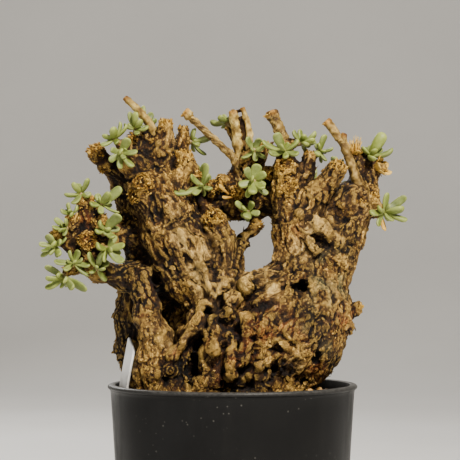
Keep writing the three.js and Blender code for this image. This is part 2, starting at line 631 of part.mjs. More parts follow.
function cross(a, b) {
  return [a[1] * b[2] - a[2] * b[1], a[2] * b[0] - a[0] * b[2], a[0] * b[1] - a[1] * b[0]];
}

function dot(a, b) {
  return a[0] * b[0] + a[1] * b[1] + a[2] * b[2];
}

function minus(a, b) {
  return [a[0] - b[0], a[1] - b[1], a[2] - b[2]];
}

class EdgeQueue {
  constructor() {
    this.items = [];
  }

  push(item) {
    const { items } = this;
    let child = items.length;
    items.push(item);
    while (child > 0) {
      const parent = (child - 1) >> 1;
      if (items[parent].cost <= items[child].cost) break;
      [items[parent], items[child]] = [items[child], items[parent]];
      child = parent;
    }
  }

  pop() {
    const { items } = this;
    const first = items[0];
    const last = items.pop();
    if (items.length > 0) {
      items[0] = last;
      let parent = 0;
      for (;;) {
        let least = parent;
        for (const child of [2 * parent + 1, 2 * parent + 2]) {
          if (child < items.length && items[child].cost < items[least].cost) least = child;
        }
        if (least === parent) break;
        [items[parent], items[least]] = [items[least], items[parent]];
        parent = least;
      }
    }
    return first;
  }
}

class MeshReducer {
  constructor({ positions, triangles }) {
    const vertexCount = positions.length / 3;
    this.points = Array.from({ length: vertexCount }, (_, v) => positions.slice(3 * v, 3 * v + 3));
    this.faces = Array.from({ length: triangles.length / 3 }, (_, f) => triangles.slice(3 * f, 3 * f + 3));
    this.facesAt = this.points.map(() => new Set());
    this.quadrics = this.points.map(() => new Float64Array(10));
    this.versions = new Int32Array(vertexCount);
    this.remaining = this.faces.length;
    this.queue = new EdgeQueue();
    this.faces.forEach((face, f) => this.addFace(face, f));
    this.faces.forEach((face) => {
      face.forEach((a, k) => {
        const b = face[(k + 1) % 3];
        if (a < b) this.offer(a, b);
      });
    });
  }

  addFace(face, f) {
    const [p, q, r] = face.map((v) => this.points[v]);
    const normal = cross(minus(q, p), minus(r, p));
    const area = Math.sqrt(dot(normal, normal));
    const [a, b, c] = normal.map((value) => value / Math.max(area, 1e-12));
    const d = -dot([a, b, c], p);
    const plane = [a * a, a * b, a * c, a * d, b * b, b * c, b * d, c * c, c * d, d * d];
    for (const v of face) {
      this.facesAt[v].add(f);
      plane.forEach((value, k) => {
        this.quadrics[v][k] += value * area;
      });
    }
  }

  // The best place for a merged vertex, held near the edge's middle where the surface is flat
  merged(a, b) {
    const q = this.quadrics[a].map((value, k) => value + this.quadrics[b][k]);
    const middle = this.points[a].map((value, k) => (value + this.points[b][k]) / 2);
    const hold = HOLD_SHARE * (q[0] + q[4] + q[7]) + 1e-9;
    const rows = [[q[0] + hold, q[1], q[2]], [q[1], q[4] + hold, q[5]], [q[2], q[5], q[7] + hold]];
    const right = [hold * middle[0] - q[3], hold * middle[1] - q[6], hold * middle[2] - q[8]];
    const minors = [cross(rows[1], rows[2]), cross(rows[2], rows[0]), cross(rows[0], rows[1])];
    const size = dot(rows[0], minors[0]);
    const place = [0, 1, 2].map((k) => dot(right, minors.map((minor) => minor[k])) / size);
    const [x, y, z] = place;
    const bend = q[0] * x * x + q[4] * y * y + q[7] * z * z + q[9]
      + 2 * (q[1] * x * y + q[2] * x * z + q[5] * y * z + q[3] * x + q[6] * y + q[8] * z);
    const edge = minus(this.points[a], this.points[b]);
    const cost = Math.max(bend, 0) + EVENNESS * dot(edge, edge) ** 2;
    return { place, cost };
  }

  offer(a, b) {
    const { place, cost } = this.merged(a, b);
    this.queue.push({ a, b, place, cost, stamp: this.versions[a] + this.versions[b] });
  }

  neighbours(v) {
    const found = new Set();
    for (const f of this.facesAt[v]) this.faces[f].forEach((other) => found.add(other));
    found.delete(v);
    return found;
  }

  // A face may not turn over, fold sharply or become a sliver
  keepsShape(v, other, place) {
    for (const f of this.facesAt[v]) {
      const face = this.faces[f];
      if (face.includes(other)) continue;
      const before = face.map((corner) => this.points[corner]);
      const after = face.map((corner, k) => (corner === v ? place : before[k]));
      const oldNormal = cross(minus(before[1], before[0]), minus(before[2], before[0]));
      const newNormal = cross(minus(after[1], after[0]), minus(after[2], after[0]));
      const oldArea = Math.sqrt(dot(oldNormal, oldNormal));
      const newArea = Math.sqrt(dot(newNormal, newNormal));
      if (dot(oldNormal, newNormal) < TURN_LIMIT * oldArea * newArea) return false;
      const longest = Math.max(...after.map((corner, k) => {
        const side = minus(corner, after[(k + 1) % 3]);
        return dot(side, side);
      }));
      if (newArea < SLIVER_LIMIT * longest) return false;
    }
    return true;
  }

  collapse({ a, b, place }) {
    const around = this.neighbours(a);
    const shared = [...this.neighbours(b)].filter((v) => around.has(v));
    if (shared.length !== 2) return;
    if (!this.keepsShape(a, b, place) || !this.keepsShape(b, a, place)) return;
    for (const f of this.facesAt[b]) {
      const face = this.faces[f];
      if (face.includes(a)) {
        face.forEach((v) => v !== b && this.facesAt[v].delete(f));
        this.faces[f] = null;
        this.remaining--;
      } else {
        face[face.indexOf(b)] = a;
        this.facesAt[a].add(f);
      }
    }
    this.facesAt[b].clear();
    this.points[a] = place;
    this.quadrics[a] = this.quadrics[a].map((value, k) => value + this.quadrics[b][k]);
    this.versions[b] += 1e6;
    this.versions[a]++;
    for (const v of this.neighbours(a)) this.offer(a, v);
  }

  reduce(target) {
    while (this.remaining > target && this.queue.items.length > 0) {
      const edge = this.queue.pop();
      if (edge.stamp === this.versions[edge.a] + this.versions[edge.b]) this.collapse(edge);
    }
    const kept = this.faces.filter((face) => face !== null);
    const order = new Map();
    kept.flat().forEach((v) => order.has(v) || order.set(v, order.size));
    const positions = [...order.keys()].flatMap((v) => this.points[v]);
    return solidFromArrays(positions, kept.flat().map((v) => order.get(v)));
  }
}

// Pieces

function outerRadius(z) {
  return BASE_RADIUS + (RIM_RADIUS - LIP_PROUD - BASE_RADIUS) * (z / (POT_HEIGHT - LIP_HEIGHT));
}

function latheSolid(profile) {
  const points = profile.map(([radius, z]) => new THREE.Vector2(radius, z));
  return solidFromGeometry(new THREE.LatheGeometry(points, POT_SIDES).rotateX(Math.PI / 2));
}

function makePot() {
  const lipBottom = POT_HEIGHT - LIP_HEIGHT;
  const inner = outerRadius(lipBottom) - WALL;
  const shell = latheSolid([
    [0, 0], [BASE_RADIUS, 0], [RIM_RADIUS - LIP_PROUD, lipBottom],
    [RIM_RADIUS, lipBottom + LIP_CHAMFER], [RIM_RADIUS, POT_HEIGHT - LIP_CHAMFER],
    [RIM_RADIUS - LIP_CHAMFER, POT_HEIGHT],
    [inner, POT_HEIGHT], [BASE_RADIUS - WALL, FLOOR], [0, FLOOR],
  ]);
  const holes = Array.from({ length: DRAIN_COUNT }, (_, turn) => {
    const angle = (turn / DRAIN_COUNT) * 2 * Math.PI;
    const hole = new THREE.CylinderGeometry(DRAIN_RADIUS, DRAIN_RADIUS, 3 * FLOOR, DRAIN_SIDES);
    hole.rotateX(Math.PI / 2);
    hole.translate(DRAIN_RING * Math.cos(angle), DRAIN_RING * Math.sin(angle), FLOOR / 2);
    return solidFromGeometry(hole);
  });
  return holes.reduce((pot, hole) => pot.subtract(hole), shell);
}

function innerRadius(z) {
  return outerRadius(z) - WALL;
}

// Loose grains sit half sunk in the soil, clear of the trunk, the label and the pot's wall
function makeSoil(caudexDistance, caudexSkin) {
  const draw = makeDraws(4127);
  const grainAt = (x, y, size, turn) => solidFromGeometry(
    new THREE.IcosahedronGeometry(size, 0).rotateX(turn).rotateZ(2 * turn).scale(1, 1, 0.8)
      .translate(x, y, SOIL_LEVEL + GRAIN_RISE * size),
  );
  const floor = FLOOR + FIT_GAP;
  let soil = latheSolid([
    [0, floor], [innerRadius(floor) - 2 * FIT_GAP, floor],
    [innerRadius(SOIL_LEVEL) - 2 * FIT_GAP, SOIL_LEVEL], [0, SOIL_LEVEL + SOIL_CROWN],
  ]);
  let placed = 0;
  while (placed < GRAIN_COUNT) {
    const angle = 2 * Math.PI * draw();
    const size = between(draw, GRAIN_SIZE);
    const reach = (innerRadius(SOIL_LEVEL) - 1 - size) * Math.sqrt(between(draw, GRAIN_SPREAD));
    const [x, y] = [reach * Math.cos(angle), reach * Math.sin(angle)];
    const turn = 2 * Math.PI * draw();
    if (caudexDistance(x, y, SOIL_LEVEL) < size + GRAIN_CLEARANCE) continue;
    soil = soil.add(grainAt(x, y, size, turn));
    placed++;
  }
  soil = LARGE_GRAINS.reduce((bed, [x, y, size]) => bed.add(grainAt(x, y, size, x)), soil);
  const hole = socketSolid(caudexDistance).add(caudexSkin).add(labelSolid(FIT_GAP));
  return largestBody(soil.subtract(hole));
}

function twigSolid({ path, radii }, extra) {
  const rings = path.map((_, step) => {
    const along = step / (path.length - 1);
    return [along, radii[0] + (radii[1] - radii[0]) * along + extra];
  });
  return bar(path, rings, TWIG_SIDES);
}

// The hole in the soil that the foot of the caudex stands in
function socketSolid(caudexDistance) {
  const distance = (x, y, z) => Math.max(caudexDistance(x, y, z), z - SOCKET_TOP);
  const high = [CAUDEX_HIGH[0], CAUDEX_HIGH[1], SOCKET_TOP + 2 * SOCKET_STEP];
  const grid = sampleGrid(distance, CAUDEX_LOW, high, SOCKET_STEP);
  return new MeshReducer(isosurface(grid, SOCKET_GAP)).reduce(SOCKET_TRIANGLES);
}

// A flat plate with a slanted top and a pointed foot, leaning to the right
function labelSolid(extra) {
  const half = LABEL_WIDTH / 2 + extra;
  const low = LABEL_BOTTOM - LABEL_MIDDLE - extra;
  const high = LABEL_TOP - LABEL_MIDDLE + extra;
  const thickness = LABEL_THICKNESS + 2 * extra;
  const outline = new THREE.Shape([
    new THREE.Vector2(0, low), new THREE.Vector2(half, low + LABEL_POINT),
    new THREE.Vector2(half, high - LABEL_SLANT), new THREE.Vector2(-half, high),
    new THREE.Vector2(-half, low + LABEL_POINT),
  ]);
  const plate = new THREE.ExtrudeGeometry(outline, { depth: thickness, bevelEnabled: false });
  plate.translate(0, 0, -thickness / 2).rotateX(Math.PI / 2).rotateZ(LABEL_TURN).rotateY(LABEL_LEAN);
  return solidFromGeometry(plate.translate(...LABEL_PLACE, LABEL_MIDDLE));
}

// A plump leaf: narrow where it springs, widest past its middle, blunt at the tip
function leafSolid(at, [dx, dy, dz, width], extra) {
  const length = Math.hypot(dx, dy, dz);
  const start = [0, 1, 2].map((k) => at[k] + ([dx, dy, dz][k] * LEAF_ROOT) / length);
  const end = [0, 1, 2].map((k) => at[k] + [dx, dy, dz][k] * (1 + extra / length));
  const droop = LEAF_DROOP * length;
  const middle = [0, 1, 2].map((k) => (start[k] + end[k]) / 2 - (k === 2 ? droop : 0));
  const rings = LEAF_RINGS.map((along, ring) => [along, (LEAF_PROFILE[ring] * width) / 2 + extra]);
  return bar([start, middle, end], rings, LEAF_SIDES, LEAF_FLATNESS);
}

function shootSolid({ at, leaves }, extra) {
  const core = solidFromGeometry(new THREE.OctahedronGeometry(SHOOT_CORE + extra, 0).translate(...at));
  return leaves.reduce((shoot, leaf) => shoot.add(leafSolid(at, leaf, extra)), core);
}

// Leaves of the back stand in a rough spiral around the direction that the shoot grows in
function grownLeaves({ grows, leaves }, draw) {
  const forward = new THREE.Vector3(...grows).normalize();
  const side = new THREE.Vector3(0, 0, 1).cross(forward).normalize();
  const up = forward.clone().cross(side);
  return Array.from({ length: leaves }, (_, turn) => {
    const angle = turn * BACK_LEAF_TURN + between(draw, BACK_TURN_SLACK);
    const spread = between(draw, BACK_SPREAD) * (1 - BACK_CLOSING * (turn / leaves));
    const length = between(draw, BACK_LEAF_LENGTH);
    const tip = forward.clone().multiplyScalar(Math.cos(spread) * length)
      .addScaledVector(side, Math.sin(spread) * Math.cos(angle) * length)
      .addScaledVector(up, Math.sin(spread) * Math.sin(angle) * length);
    return [tip.x, tip.y, tip.z, between(draw, BACK_LEAF_WIDTH)];
  });
}

const leafDraws = makeDraws(9031);
const shoots = { ...SHOOTS };
for (const [name, shoot] of Object.entries(BACK_SHOOTS)) {
  shoots[name] = { at: shoot.at, leaves: grownLeaves(shoot, leafDraws) };
}

const limbs = segmentsOf([...TRUNK, ...ARMS]);
const stalks = Object.values(shoots).map(({ at }) => budStalk(at, limbs));
const caudexDistance = makeCaudexDistance(limbs, stalks);
const grid = sampleGrid(caudexDistance, CAUDEX_LOW, CAUDEX_HIGH, GRID_STEP);
const body = new MeshReducer(isosurface(grid, 0)).reduce(CAUDEX_TRIANGLES);
const bodySkin = new MeshReducer(isosurface(grid, SKIN_GAP)).reduce(CAUDEX_TRIANGLES).add(body);
const caudex = TWIGS.reduce((solid, twig) => solid.add(twigSolid(twig, 0)), body);
const skin = TWIGS.reduce((solid, twig) => solid.add(twigSolid(twig, SKIN_GAP)), bodySkin);

const group = new THREE.Group();
group.add(meshNode('pot', makePot(), FINISHES.pot));
group.add(meshNode('soil', makeSoil(caudexDistance, bodySkin), FINISHES.soil));
group.add(meshNode('caudex', largestBody(caudex), FINISHES.caudex));
group.add(meshNode('label', labelSolid(0), FINISHES.label));

let taken = skin.add(labelSolid(FIT_GAP));
for (const [name, shoot] of Object.entries(shoots)) {
  group.add(meshNode(`leaves_${name}`, largestBody(shootSolid(shoot, 0).subtract(taken)), GREEN));
  taken = taken.add(shootSolid(shoot, FIT_GAP));
}

export default group;
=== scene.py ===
"""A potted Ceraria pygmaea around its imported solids. Metres, +Z up, the front towards -Y.

The lengths below are millimetres, except where a comment says metres.
"""
import math

import bmesh
import bpy
import numpy as np
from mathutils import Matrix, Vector


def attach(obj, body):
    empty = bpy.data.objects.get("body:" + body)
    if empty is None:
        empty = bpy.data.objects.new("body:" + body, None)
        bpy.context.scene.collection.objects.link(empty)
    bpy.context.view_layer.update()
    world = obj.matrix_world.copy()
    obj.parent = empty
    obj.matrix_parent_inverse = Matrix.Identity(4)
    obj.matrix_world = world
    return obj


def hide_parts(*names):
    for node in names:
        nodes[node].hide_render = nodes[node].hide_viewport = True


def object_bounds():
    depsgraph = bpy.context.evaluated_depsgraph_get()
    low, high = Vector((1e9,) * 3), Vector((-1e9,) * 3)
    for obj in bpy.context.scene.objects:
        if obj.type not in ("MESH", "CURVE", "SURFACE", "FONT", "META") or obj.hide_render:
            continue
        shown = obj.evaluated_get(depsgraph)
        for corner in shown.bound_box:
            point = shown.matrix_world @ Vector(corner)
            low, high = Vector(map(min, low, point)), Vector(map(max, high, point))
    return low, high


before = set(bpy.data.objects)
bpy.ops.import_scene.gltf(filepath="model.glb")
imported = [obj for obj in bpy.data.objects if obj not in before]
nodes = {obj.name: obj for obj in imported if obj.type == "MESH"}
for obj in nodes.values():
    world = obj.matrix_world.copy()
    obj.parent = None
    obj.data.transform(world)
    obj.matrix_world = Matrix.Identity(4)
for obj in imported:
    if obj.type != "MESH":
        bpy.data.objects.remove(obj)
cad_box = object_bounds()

MM = 0.001
BODY = "root"

# Camera, at the photograph's viewing angle
EYE = (-0.9, -750, 131)
AIM = (-0.9, 0, 135.3)
VIEW_ANGLE = 2 * math.atan(230 / 2085)

# Each light, in metres and watts: its place, what it looks at, its power, its width and its colour
LIGHTS = {
    "key_light": ((0.29, -0.6, 0.76), (0, 0, 0.12), 24, 0.16, (1.0, 0.94, 0.84)),
    "fill_light": ((-0.75, -0.45, 0.3), (0, 0, 0.1), 2.3, 0.5, (1.0, 0.98, 0.95)),
    "back_light": ((-0.3, 0.7, 0.6), (0, 0, 0.13), 5, 0.5, (1.0, 0.98, 0.95)),
}
AIR_COLOUR = (0.8, 0.79, 0.77, 1)
AIR_STRENGTH = 0.15

# The stage, in metres: its near end, where it starts to sweep up, how it bends, its top and half width
STAGE_FRONT = -1.6
STAGE_BEND_START = 0.9
STAGE_BEND_RADIUS = 0.6
STAGE_TOP = 2.6
STAGE_HALF_WIDTH = 2.4

# Caudex surface
VOXEL = 0.585
SMOOTH_ROUNDS = 36
FIT_STEPS = 3
FIT_REACH = 1.3
LIMB_BLEND = 3
KNOB_BLEND = 1.3
CARVE_BLEND = 1.7
TWIG_BLEND = 0.6
# How far out from the bark the painted occlusion shade looks for other parts of the wood
OCCLUSION_SHADE_REACH = 4.2
SOIL_LEVEL = 76.2
# Farther than any point is from the wood
FAR = 99.0

# How far the hollows' edges wander, how much thinner the twigs' cores are than the twigs, and how
# many triangles the bark keeps
CARVE_SWAY = 1.1
TWIG_CORE = 0.5
BARK_TRIANGLES = 196000
# How far each kind of form on the bark rises or sinks
RELIEF = {
    "broad crease": 0.9, "small crease": 0.36, "plate step": 0.34, "plate tilt": 0.34, "plate seam": 0.3,
    "fine step": 0.24, "fine seam": 0.16, "flutes": 0.28, "fibres": 0.12, "lumps": 0.6, "knobs": 1.05,
}

# Seeds of the random draws
SEEDS = {"flakes": 517, "crumbs": 911, "fibres": 77, "bracts": 640, "grit": 4127, "leaves": 2206,
         "back shoots": 9031}

# Bark flakes, crumbs, papery parts and grains
FLAKE_COUNT = 7000
FLAKE_LENGTH = (0.35, 0.8)
FLAKE_THICKNESS = (0.06, 0.12)
SCAR_CHIP_LENGTH = (0.35, 0.85)
CRUMB_SIZE = (0.2, 0.42)
FIBRE_THICKNESS = 0.16
PAPER_THICKNESS = 0.2
GRIT_COUNT = 2600
GRIT_SIZE = (0.45, 1.15)
# Large grains heaped at the caudex's foot: x, y, size, rise above the soil and paleness
LARGE_GRAINS = [
    (29.4, -5.6, 1.3, 0.4, 0.5), (32.5, -5.3, 1.3, 0.4, 0.6), (31, -2.6, 1.3, 0.4, 0.45),
    (28.7, -11, 1.1, 0.3, 0.5), (26.4, -11.6, 1.1, 0.3, 0.6), (30.9, -4.8, 2.2, 2.4, 0.9),
    (27.5, -10.9, 1.7, 1.9, 0.92),
]

# Points around a twig, and the distance between its rings
TWIG_ROUND = 30
TWIG_STEP = 0.32

# Leaves
LEAF_ROUND = 14
LEAF_STATIONS = (0, 0.06, 0.14, 0.25, 0.4, 0.55, 0.68, 0.78, 0.86, 0.92, 0.96, 0.985)
LEAF_FULLNESS = 0.93
FILLER_TRIES = 40
FILLER_SIZES = (0.9, 0.75, 0.6, 0.5)
BACK_LEAF_LENGTH = (6.5, 9)
BACK_LEAF_WIDTH = (2.8, 3.8)
BACK_LEAF_TURN = 1.95
BACK_TURN_SLACK = (-0.3, 0.3)
BACK_SPREAD = (0.55, 1.25)
BACK_CLOSING = 0.4
STALK_RADII = (2.2, 1.5)
STALK_SHORT = 1.9
# The stem inside a shoot: places along it from the shoot's heart inwards, and the radius at each
STEM_STATIONS = (2.6, 1.2, 0, -0.9)
STEM_RADII = (1.25, 1.15, 1.05, 0.6)
# How light goes through a leaf: share, reach of each colour, and scale in metres
LEAF_FLESH = {"Subsurface Weight": 0.1, "Subsurface Radius": (0.5, 0.7, 0.2), "Subsurface Scale": 0.0012}

# Pot and label
POT_HEIGHT = 80
RIM_RADIUS = 45
BASE_RADIUS = 39
WALL = 1.8
FLOOR = 2.5
LIP_PROUD = 1
LIP_HEIGHT = 1.8
LIP_ROUND = 0.85
DRAIN_COUNT = 6
DRAIN_RADIUS = 2.6
DRAIN_RING = 26
POT_SIDES = 160
SOIL_SIDES = 120
SOIL_ABOVE_FLOOR = 0.4
SOIL_OFF_WALL = 0.7
LABEL_WIDTH = 9
LABEL_THICKNESS = 0.8
LABEL_BOTTOM = 69
LABEL_TOP = 97.2
LABEL_MIDDLE = 80
LABEL_PLACE = (-38.6, -7)
LABEL_SLANT = 4
LABEL_POINT = 8
LABEL_TURN = -1.22
LABEL_LEAN = 0.17

# Limbs of the caudex: each is a chain of points (x, y, z, radius) along its axis
TRUNK = [
    # right body, from the root to the shoulder of the right arm
    [(10, 1, 66, 16), (10, -1.5, 83, 17.5), (19.5, -2, 99, 20.6), (24, -2, 107, 18.5), (27, -1, 117, 14.5)],
    # left and middle body
    [(-10, 3, 66, 15), (-8, -2, 84, 15.5), (-5, -4, 98, 14.5), (0, -4, 110, 10.5)],
    # columns of the left side, the front one and the one behind it
    [(-29, -11, 72, 6), (-28.8, -12, 87, 5.6), (-26.5, -12.5, 97, 5), (-30, -10, 105, 5), (-32, -6, 117, 5)],
    [(-27, 7, 66, 8), (-29.5, 7.5, 80, 7.6), (-33.5, 8, 91, 8), (-34.5, 9, 102, 8), (-32, 8, 118, 8.5)],
    # strut that crosses the hollow of the left side
    [(-9.5, -16, 108, 2.6), (-13.5, -18, 101, 1.9), (-18, -18, 95.5, 1.5), (-21, -17, 90.5, 2.2)],
    # foot of the left side
    [(-20, -9, 70, 9), (-20, -8, 84, 8)],
    # saddle under the opening
    [(0, -8, 115, 5), (8, -8, 115.4, 4.6), (16, -8, 117, 6)],
    # back of the body
    [(-14, 12, 66, 10), (-16, 12, 92, 11), (-12, 10, 110, 10)],
    [(14, 12, 66, 11), (18, 13, 92, 11.5), (22, 9, 110, 11)],
]
ARMS = [
    # big left arm and its forks
    [(-5, -6, 107, 7), (-13, -6, 121, 8.5), (-21.5, -4, 136, 10), (-28, -2, 149, 9.5), (-31, -1, 156, 6.5)],
    [(-12, -5, 108, 6), (-17.5, -5, 119, 8), (-25, -4, 134, 7.5)],
    [(-29, 0, 152, 7), (-36, -4, 160, 4.5), (-38, -5.5, 164, 3)],
    [(-26, -1, 155, 5.5), (-25, -3, 164, 3.6), (-24, -3, 171, 2.8)],
    [(-20, -2, 146, 7), (-16.5, -4, 157, 4.4)],
    [(-22, 2, 152, 5), (-19, 2, 163, 2.6), (-17.8, 1, 169.5, 1.9)],
    [(-29, 0, 157, 4.6), (-32, -3, 167.5, 3)],
    # darker arm behind the left one
    [(-26, 7, 116, 9.5), (-33, 8, 136, 8.5), (-36.5, 6, 151, 6.5), (-44, 2, 158, 3), (-47.5, -1, 161, 2.6)],
    # low arm that carries the left cluster
    [(-26, 0, 121, 6.5), (-38, -2, 118, 4.2), (-48, -6, 121, 3.6), (-52, -8, 128, 3.1), (-52, -9, 141, 2.2)],
    [(-36, 3, 134, 6), (-43, -2, 132, 3.6), (-50, -8, 130, 3)],
    [(-53, -8, 129, 2.8), (-57, -10, 137, 1.9)],
    [(-54, -8, 126, 2.6), (-61, -9, 132, 1.8)],
    [(-53, -8, 123, 2.6), (-58, -10, 121, 2)],
    # pillar left of the opening
    [(-3, -9, 107, 5), (-2.6, -9.5, 121, 3.8), (-3, -8, 131, 4.1), (-6.5, -6, 138, 4.2)],
    # spur that leans across the opening's upper left
    [(1, 0, 120, 3), (1.8, 1, 126, 2.6), (4, 2, 131.5, 2.3), (8.4, 3, 136, 2.1)],
    # right wall of the opening and the middle arm
    [(23, -3, 122, 9.5), (21.5, -3, 136, 7), (19.5, -3, 149, 5), (19.3, -2, 157, 3.8), (18.6, 0, 166, 2.4)],
    [(20.5, 0, 147, 4.6), (26, -1, 155, 3), (27.4, -2, 160.5, 2.3)],
    # bridge over the opening and the short stem on it
    [(-18, 5, 141, 7), (-6, 8, 145, 6), (8, 8, 145.5, 6), (14, 6, 148, 5.5), (20, 3, 145, 6)],
    [(1, 6, 146, 6), (4, 4, 155, 4.4), (5, 2, 161, 3.2)],
    [(6, 5, 152, 3), (11, 2, 163, 1.9)],
    # right arm and its forks
    [(27, -1, 118, 14), (33, 0, 126, 11), (38, 1, 136, 9.5), (43, 3, 144, 8), (47, 5, 147, 6)],
    [(25, -5, 138, 5.5), (29, -7, 147, 4.2), (36, -8, 155.5, 3.9)],
    [(46, 6, 148, 4.4), (45.5, 9, 162, 3)],
    [(48, 6, 148, 4.2), (50.5, 8, 158.5, 2.9)],
    [(45, 1, 146, 4.6), (52, 1, 143, 3)],
    # arms of the back
    [(-12, 10, 106, 11), (-12, 17, 123, 8.5), (-15, 20, 136, 6.5), (-12, 22, 147, 4)],
    [(-15, 20, 134, 5), (-22, 25, 142, 2.8)],
    [(22, 8, 106, 12), (25, 16, 121, 9), (25, 20, 135, 6.5), (29, 22, 145, 4)],
    [(25, 20, 132, 5), (18, 26, 141, 3)],
    [(-18, 12, 96, 11), (-26, 19, 103, 6.5), (-32, 25, 110, 3.6)],
    [(32, 6, 110, 10), (36, 15, 121, 5.5), (38, 20, 129, 3.2)],
]
# Raised ribs of the front
RIBS = [
    [(25, -10, 141, 2.6), (31, -11.5, 137, 2.4), (37, -9.5, 131, 2.6)],
    [(24.5, -11, 135, 1.8), (30, -14, 128, 1.6)],
    [(-6.5, -19.5, 104, 2.1), (-6.5, -20, 93, 2.2)],
    [(-0.5, -20, 98, 2), (-0.5, -19.5, 84, 2.4)],
    [(5, -20, 104, 2.2), (4, -19.5, 88, 2.2)],
    [(17.5, -19, 109, 2.6), (11, -20.5, 101.5, 2.9)],
    [(-26, -6, 158, 1.6), (-23, -13.5, 142, 2), (-14, -15, 131, 2.2), (-6, -14.5, 113, 2.6)],
]
# Openings and hollows, cut out along their axes
CARVINGS = [
    # opening under the bridge, which runs back to the right
    [(7.2, -22, 127, 5.6), (8, -6, 127, 4.9), (11, 12, 126.5, 4.8), (13, 32, 127, 6.5)],
    # gap between the big left arm and the pillar
    [(-10, -12, 139, 2.4), (-8.4, -14, 127, 1.3), (-6.2, -17, 117, 0.9)],
    # hollow of the left side, and the gap beside the strut
    [(-20.8, -24, 104.5, 4.6), (-20.5, -6, 105.5, 4.8)],
    [(-13.5, -24, 97, 2.4), (-11.5, -12, 95, 2.6)],
    [(-8.6, -24, 106.5, 1.5), (-8.8, -15, 106.5, 1.7)],
    [(-13, -24, 90, 2.3), (-12.6, -13, 90, 2.1)],
    [(-15, -24, 85.5, 3.3), (-14, -13, 86, 2.6)],
    [(-20.6, -24, 98, 1.9), (-20, -11, 98, 2.2)],
    [(-17, -24, 79.5, 2.2), (-16, -15, 80, 2)],
    [(-28, -18, 121, 2.2), (-27, -6, 119, 2.4)],
    [(-27, -13, 119, 1.7), (-25, -14, 110, 1.6)],
    # slots between the ribs of the lower middle
    [(-1.9, -24, 101, 1), (-1.6, -21, 95, 1.2)],
    [(2, -23, 94, 0.9), (2.2, -21, 80, 1.2)],
    [(4.5, -25, 80.5, 2), (4.5, -18, 80.5, 1.8)],
    [(5, -25, 87, 1.4), (5, -19, 87, 1.4)],
    # hollows of the right side
    [(24, -26, 115, 3.6), (24, -14, 114.8, 2.4)],
    [(17.6, -24, 115.8, 1.2), (18, -14, 115.8, 1.4)],
    [(16, -26, 94, 2.6), (16, -19, 94, 1.2)],
    [(14, -25, 86, 3.2), (14.5, -15, 87, 1.5)],
    [(29.5, -22, 90, 2.8), (28, -13, 90, 1.3)],
    [(26, -22, 81, 2.8), (24, -12, 82, 1.4)],
    [(19, -21, 122.5, 0.9), (31, -17, 122, 1.2)],
    [(30, -16, 131.5, 1.1), (31, -11, 132, 0.9)],
    [(38, -16, 140.5, 3.4), (38, -7.5, 141, 3.2)],
    # hollows of the back
    [(-6, 32, 104, 4), (-5, 20, 105, 3.4)],
    [(2, 32, 86, 3), (2, 19, 86, 2.6)],
    [(31, 26, 101, 3), (29, 17, 102, 2.6)],
    [(-25, 26, 92, 3), (-24, 17, 94, 2.4)],
]
# Rounded knobs and scar knobs (x, y, z, radius)
KNOBS = [
    (-4, -13.5, 117, 3.6), (4.5, -15, 115.5, 3.2), (0, -17, 111, 3), (10.5, -16, 110, 3.2),
    (-2, -18.5, 106, 2.6), (-22, -15.5, 86, 3), (-6.3, -8, 138.5, 4), (43.5, -3, 107, 3),
    (-52, -8.5, 144.3, 3.3), (-47.5, -9, 138, 3.4), (-56.5, -10, 138, 2.9), (-51.5, -11, 131.5, 3.6),
    (-62, -9.5, 133.5, 2.5), (-58.5, -8.5, 132, 2.4), (-48.8, -1.5, 163, 3.3), (-45.5, 0, 158, 2.2),
    (-24, -3, 172.3, 2.8), (-17.8, 1, 170.5, 2.3), (-17.5, -4.5, 160, 4), (-14.5, -4, 155, 3),
    (-31, -9.5, 151, 4.2), (-33.5, -8, 147.5, 3.2), (-30, -3, 166.5, 2.6), (-35.5, -5, 168, 2.2),
    (37, -9, 156.8, 3.3), (19, -5.5, 157, 4), (19.5, -6, 150.5, 3.9), (12.4, 0, 156, 2.4),
    (11, 2, 165, 2), (27.3, -2, 161.5, 2), (-3, 2, 152, 3.2), (-7, 0, 150, 2.8),
    (2, 0, 149, 2.8), (8.8, 3, 136.5, 2.2), (45, -2, 145.5, 3.4), (50, 0, 146.5, 2.6),
    (53.5, 8, 157.5, 2.6), (-22, 25, 143, 2.8), (-12, 22.5, 149, 3), (29, 22.5, 147, 3),
    (18, 26.5, 142.5, 3), (-6, 21, 96, 4), (9, 22, 101, 4.5), (24, 23, 92, 4), (-20, 22, 88, 4),
    (2, 17, 114, 4), (41, 9, 100, 3.4), (-41, 14, 92, 3), (14, 20, 120, 3), (-36.5, 15.5, 112, 3.2),
]
# Dry twigs and bare shoots: axis points, then the radius at the start and at the end
TWIGS = [
    ([(-27.5, -2, 163), (-28.6, -2, 171), (-33.3, -3, 177.7), (-38.3, -3, 182.6)], (2, 1.2)),
    ([(3.5, 1, 150), (0.6, 0, 160.5), (-7.5, -1, 168.6), (-16, -2, 176.6)], (1.7, 1.2)),
    ([(-15.2, -2, 175.9), (-17, -2.1, 177.4)], (1.9, 1.6)),
    ([(4, 2, 158), (2, 1.5, 166), (1.2, 1.5, 172), (0.2, 1.5, 177.8)], (2.3, 1.6)),
    ([(5.5, 1, 159), (6.2, 0, 167), (5.6, 0, 173), (3.6, 0, 179)], (1.4, 1)),
    ([(19, 0, 163), (17.6, 0.5, 169.5), (14.6, 1, 176.6)], (2.8, 1.9)),
    ([(15.1, 0.9, 174.8), (14.2, 1.1, 177.2)], (2, 2.7)),
    ([(48, 2, 146), (44.5, 1, 154), (40.3, 0, 165), (38, 0, 168.8)], (2.4, 1.3)),
    ([(39.6, 0, 166.6), (39.9, -0.4, 168.6), (40.2, -0.6, 169.6)], (1.3, 1.2)),
    ([(38.6, 0, 167.8), (36.3, 0, 171.4), (34, 0, 174.2)], (1.45, 1.7)),
    ([(42.6, -2, 106.5), (46.3, -3, 105.9)], (1.8, 0.5)),
]
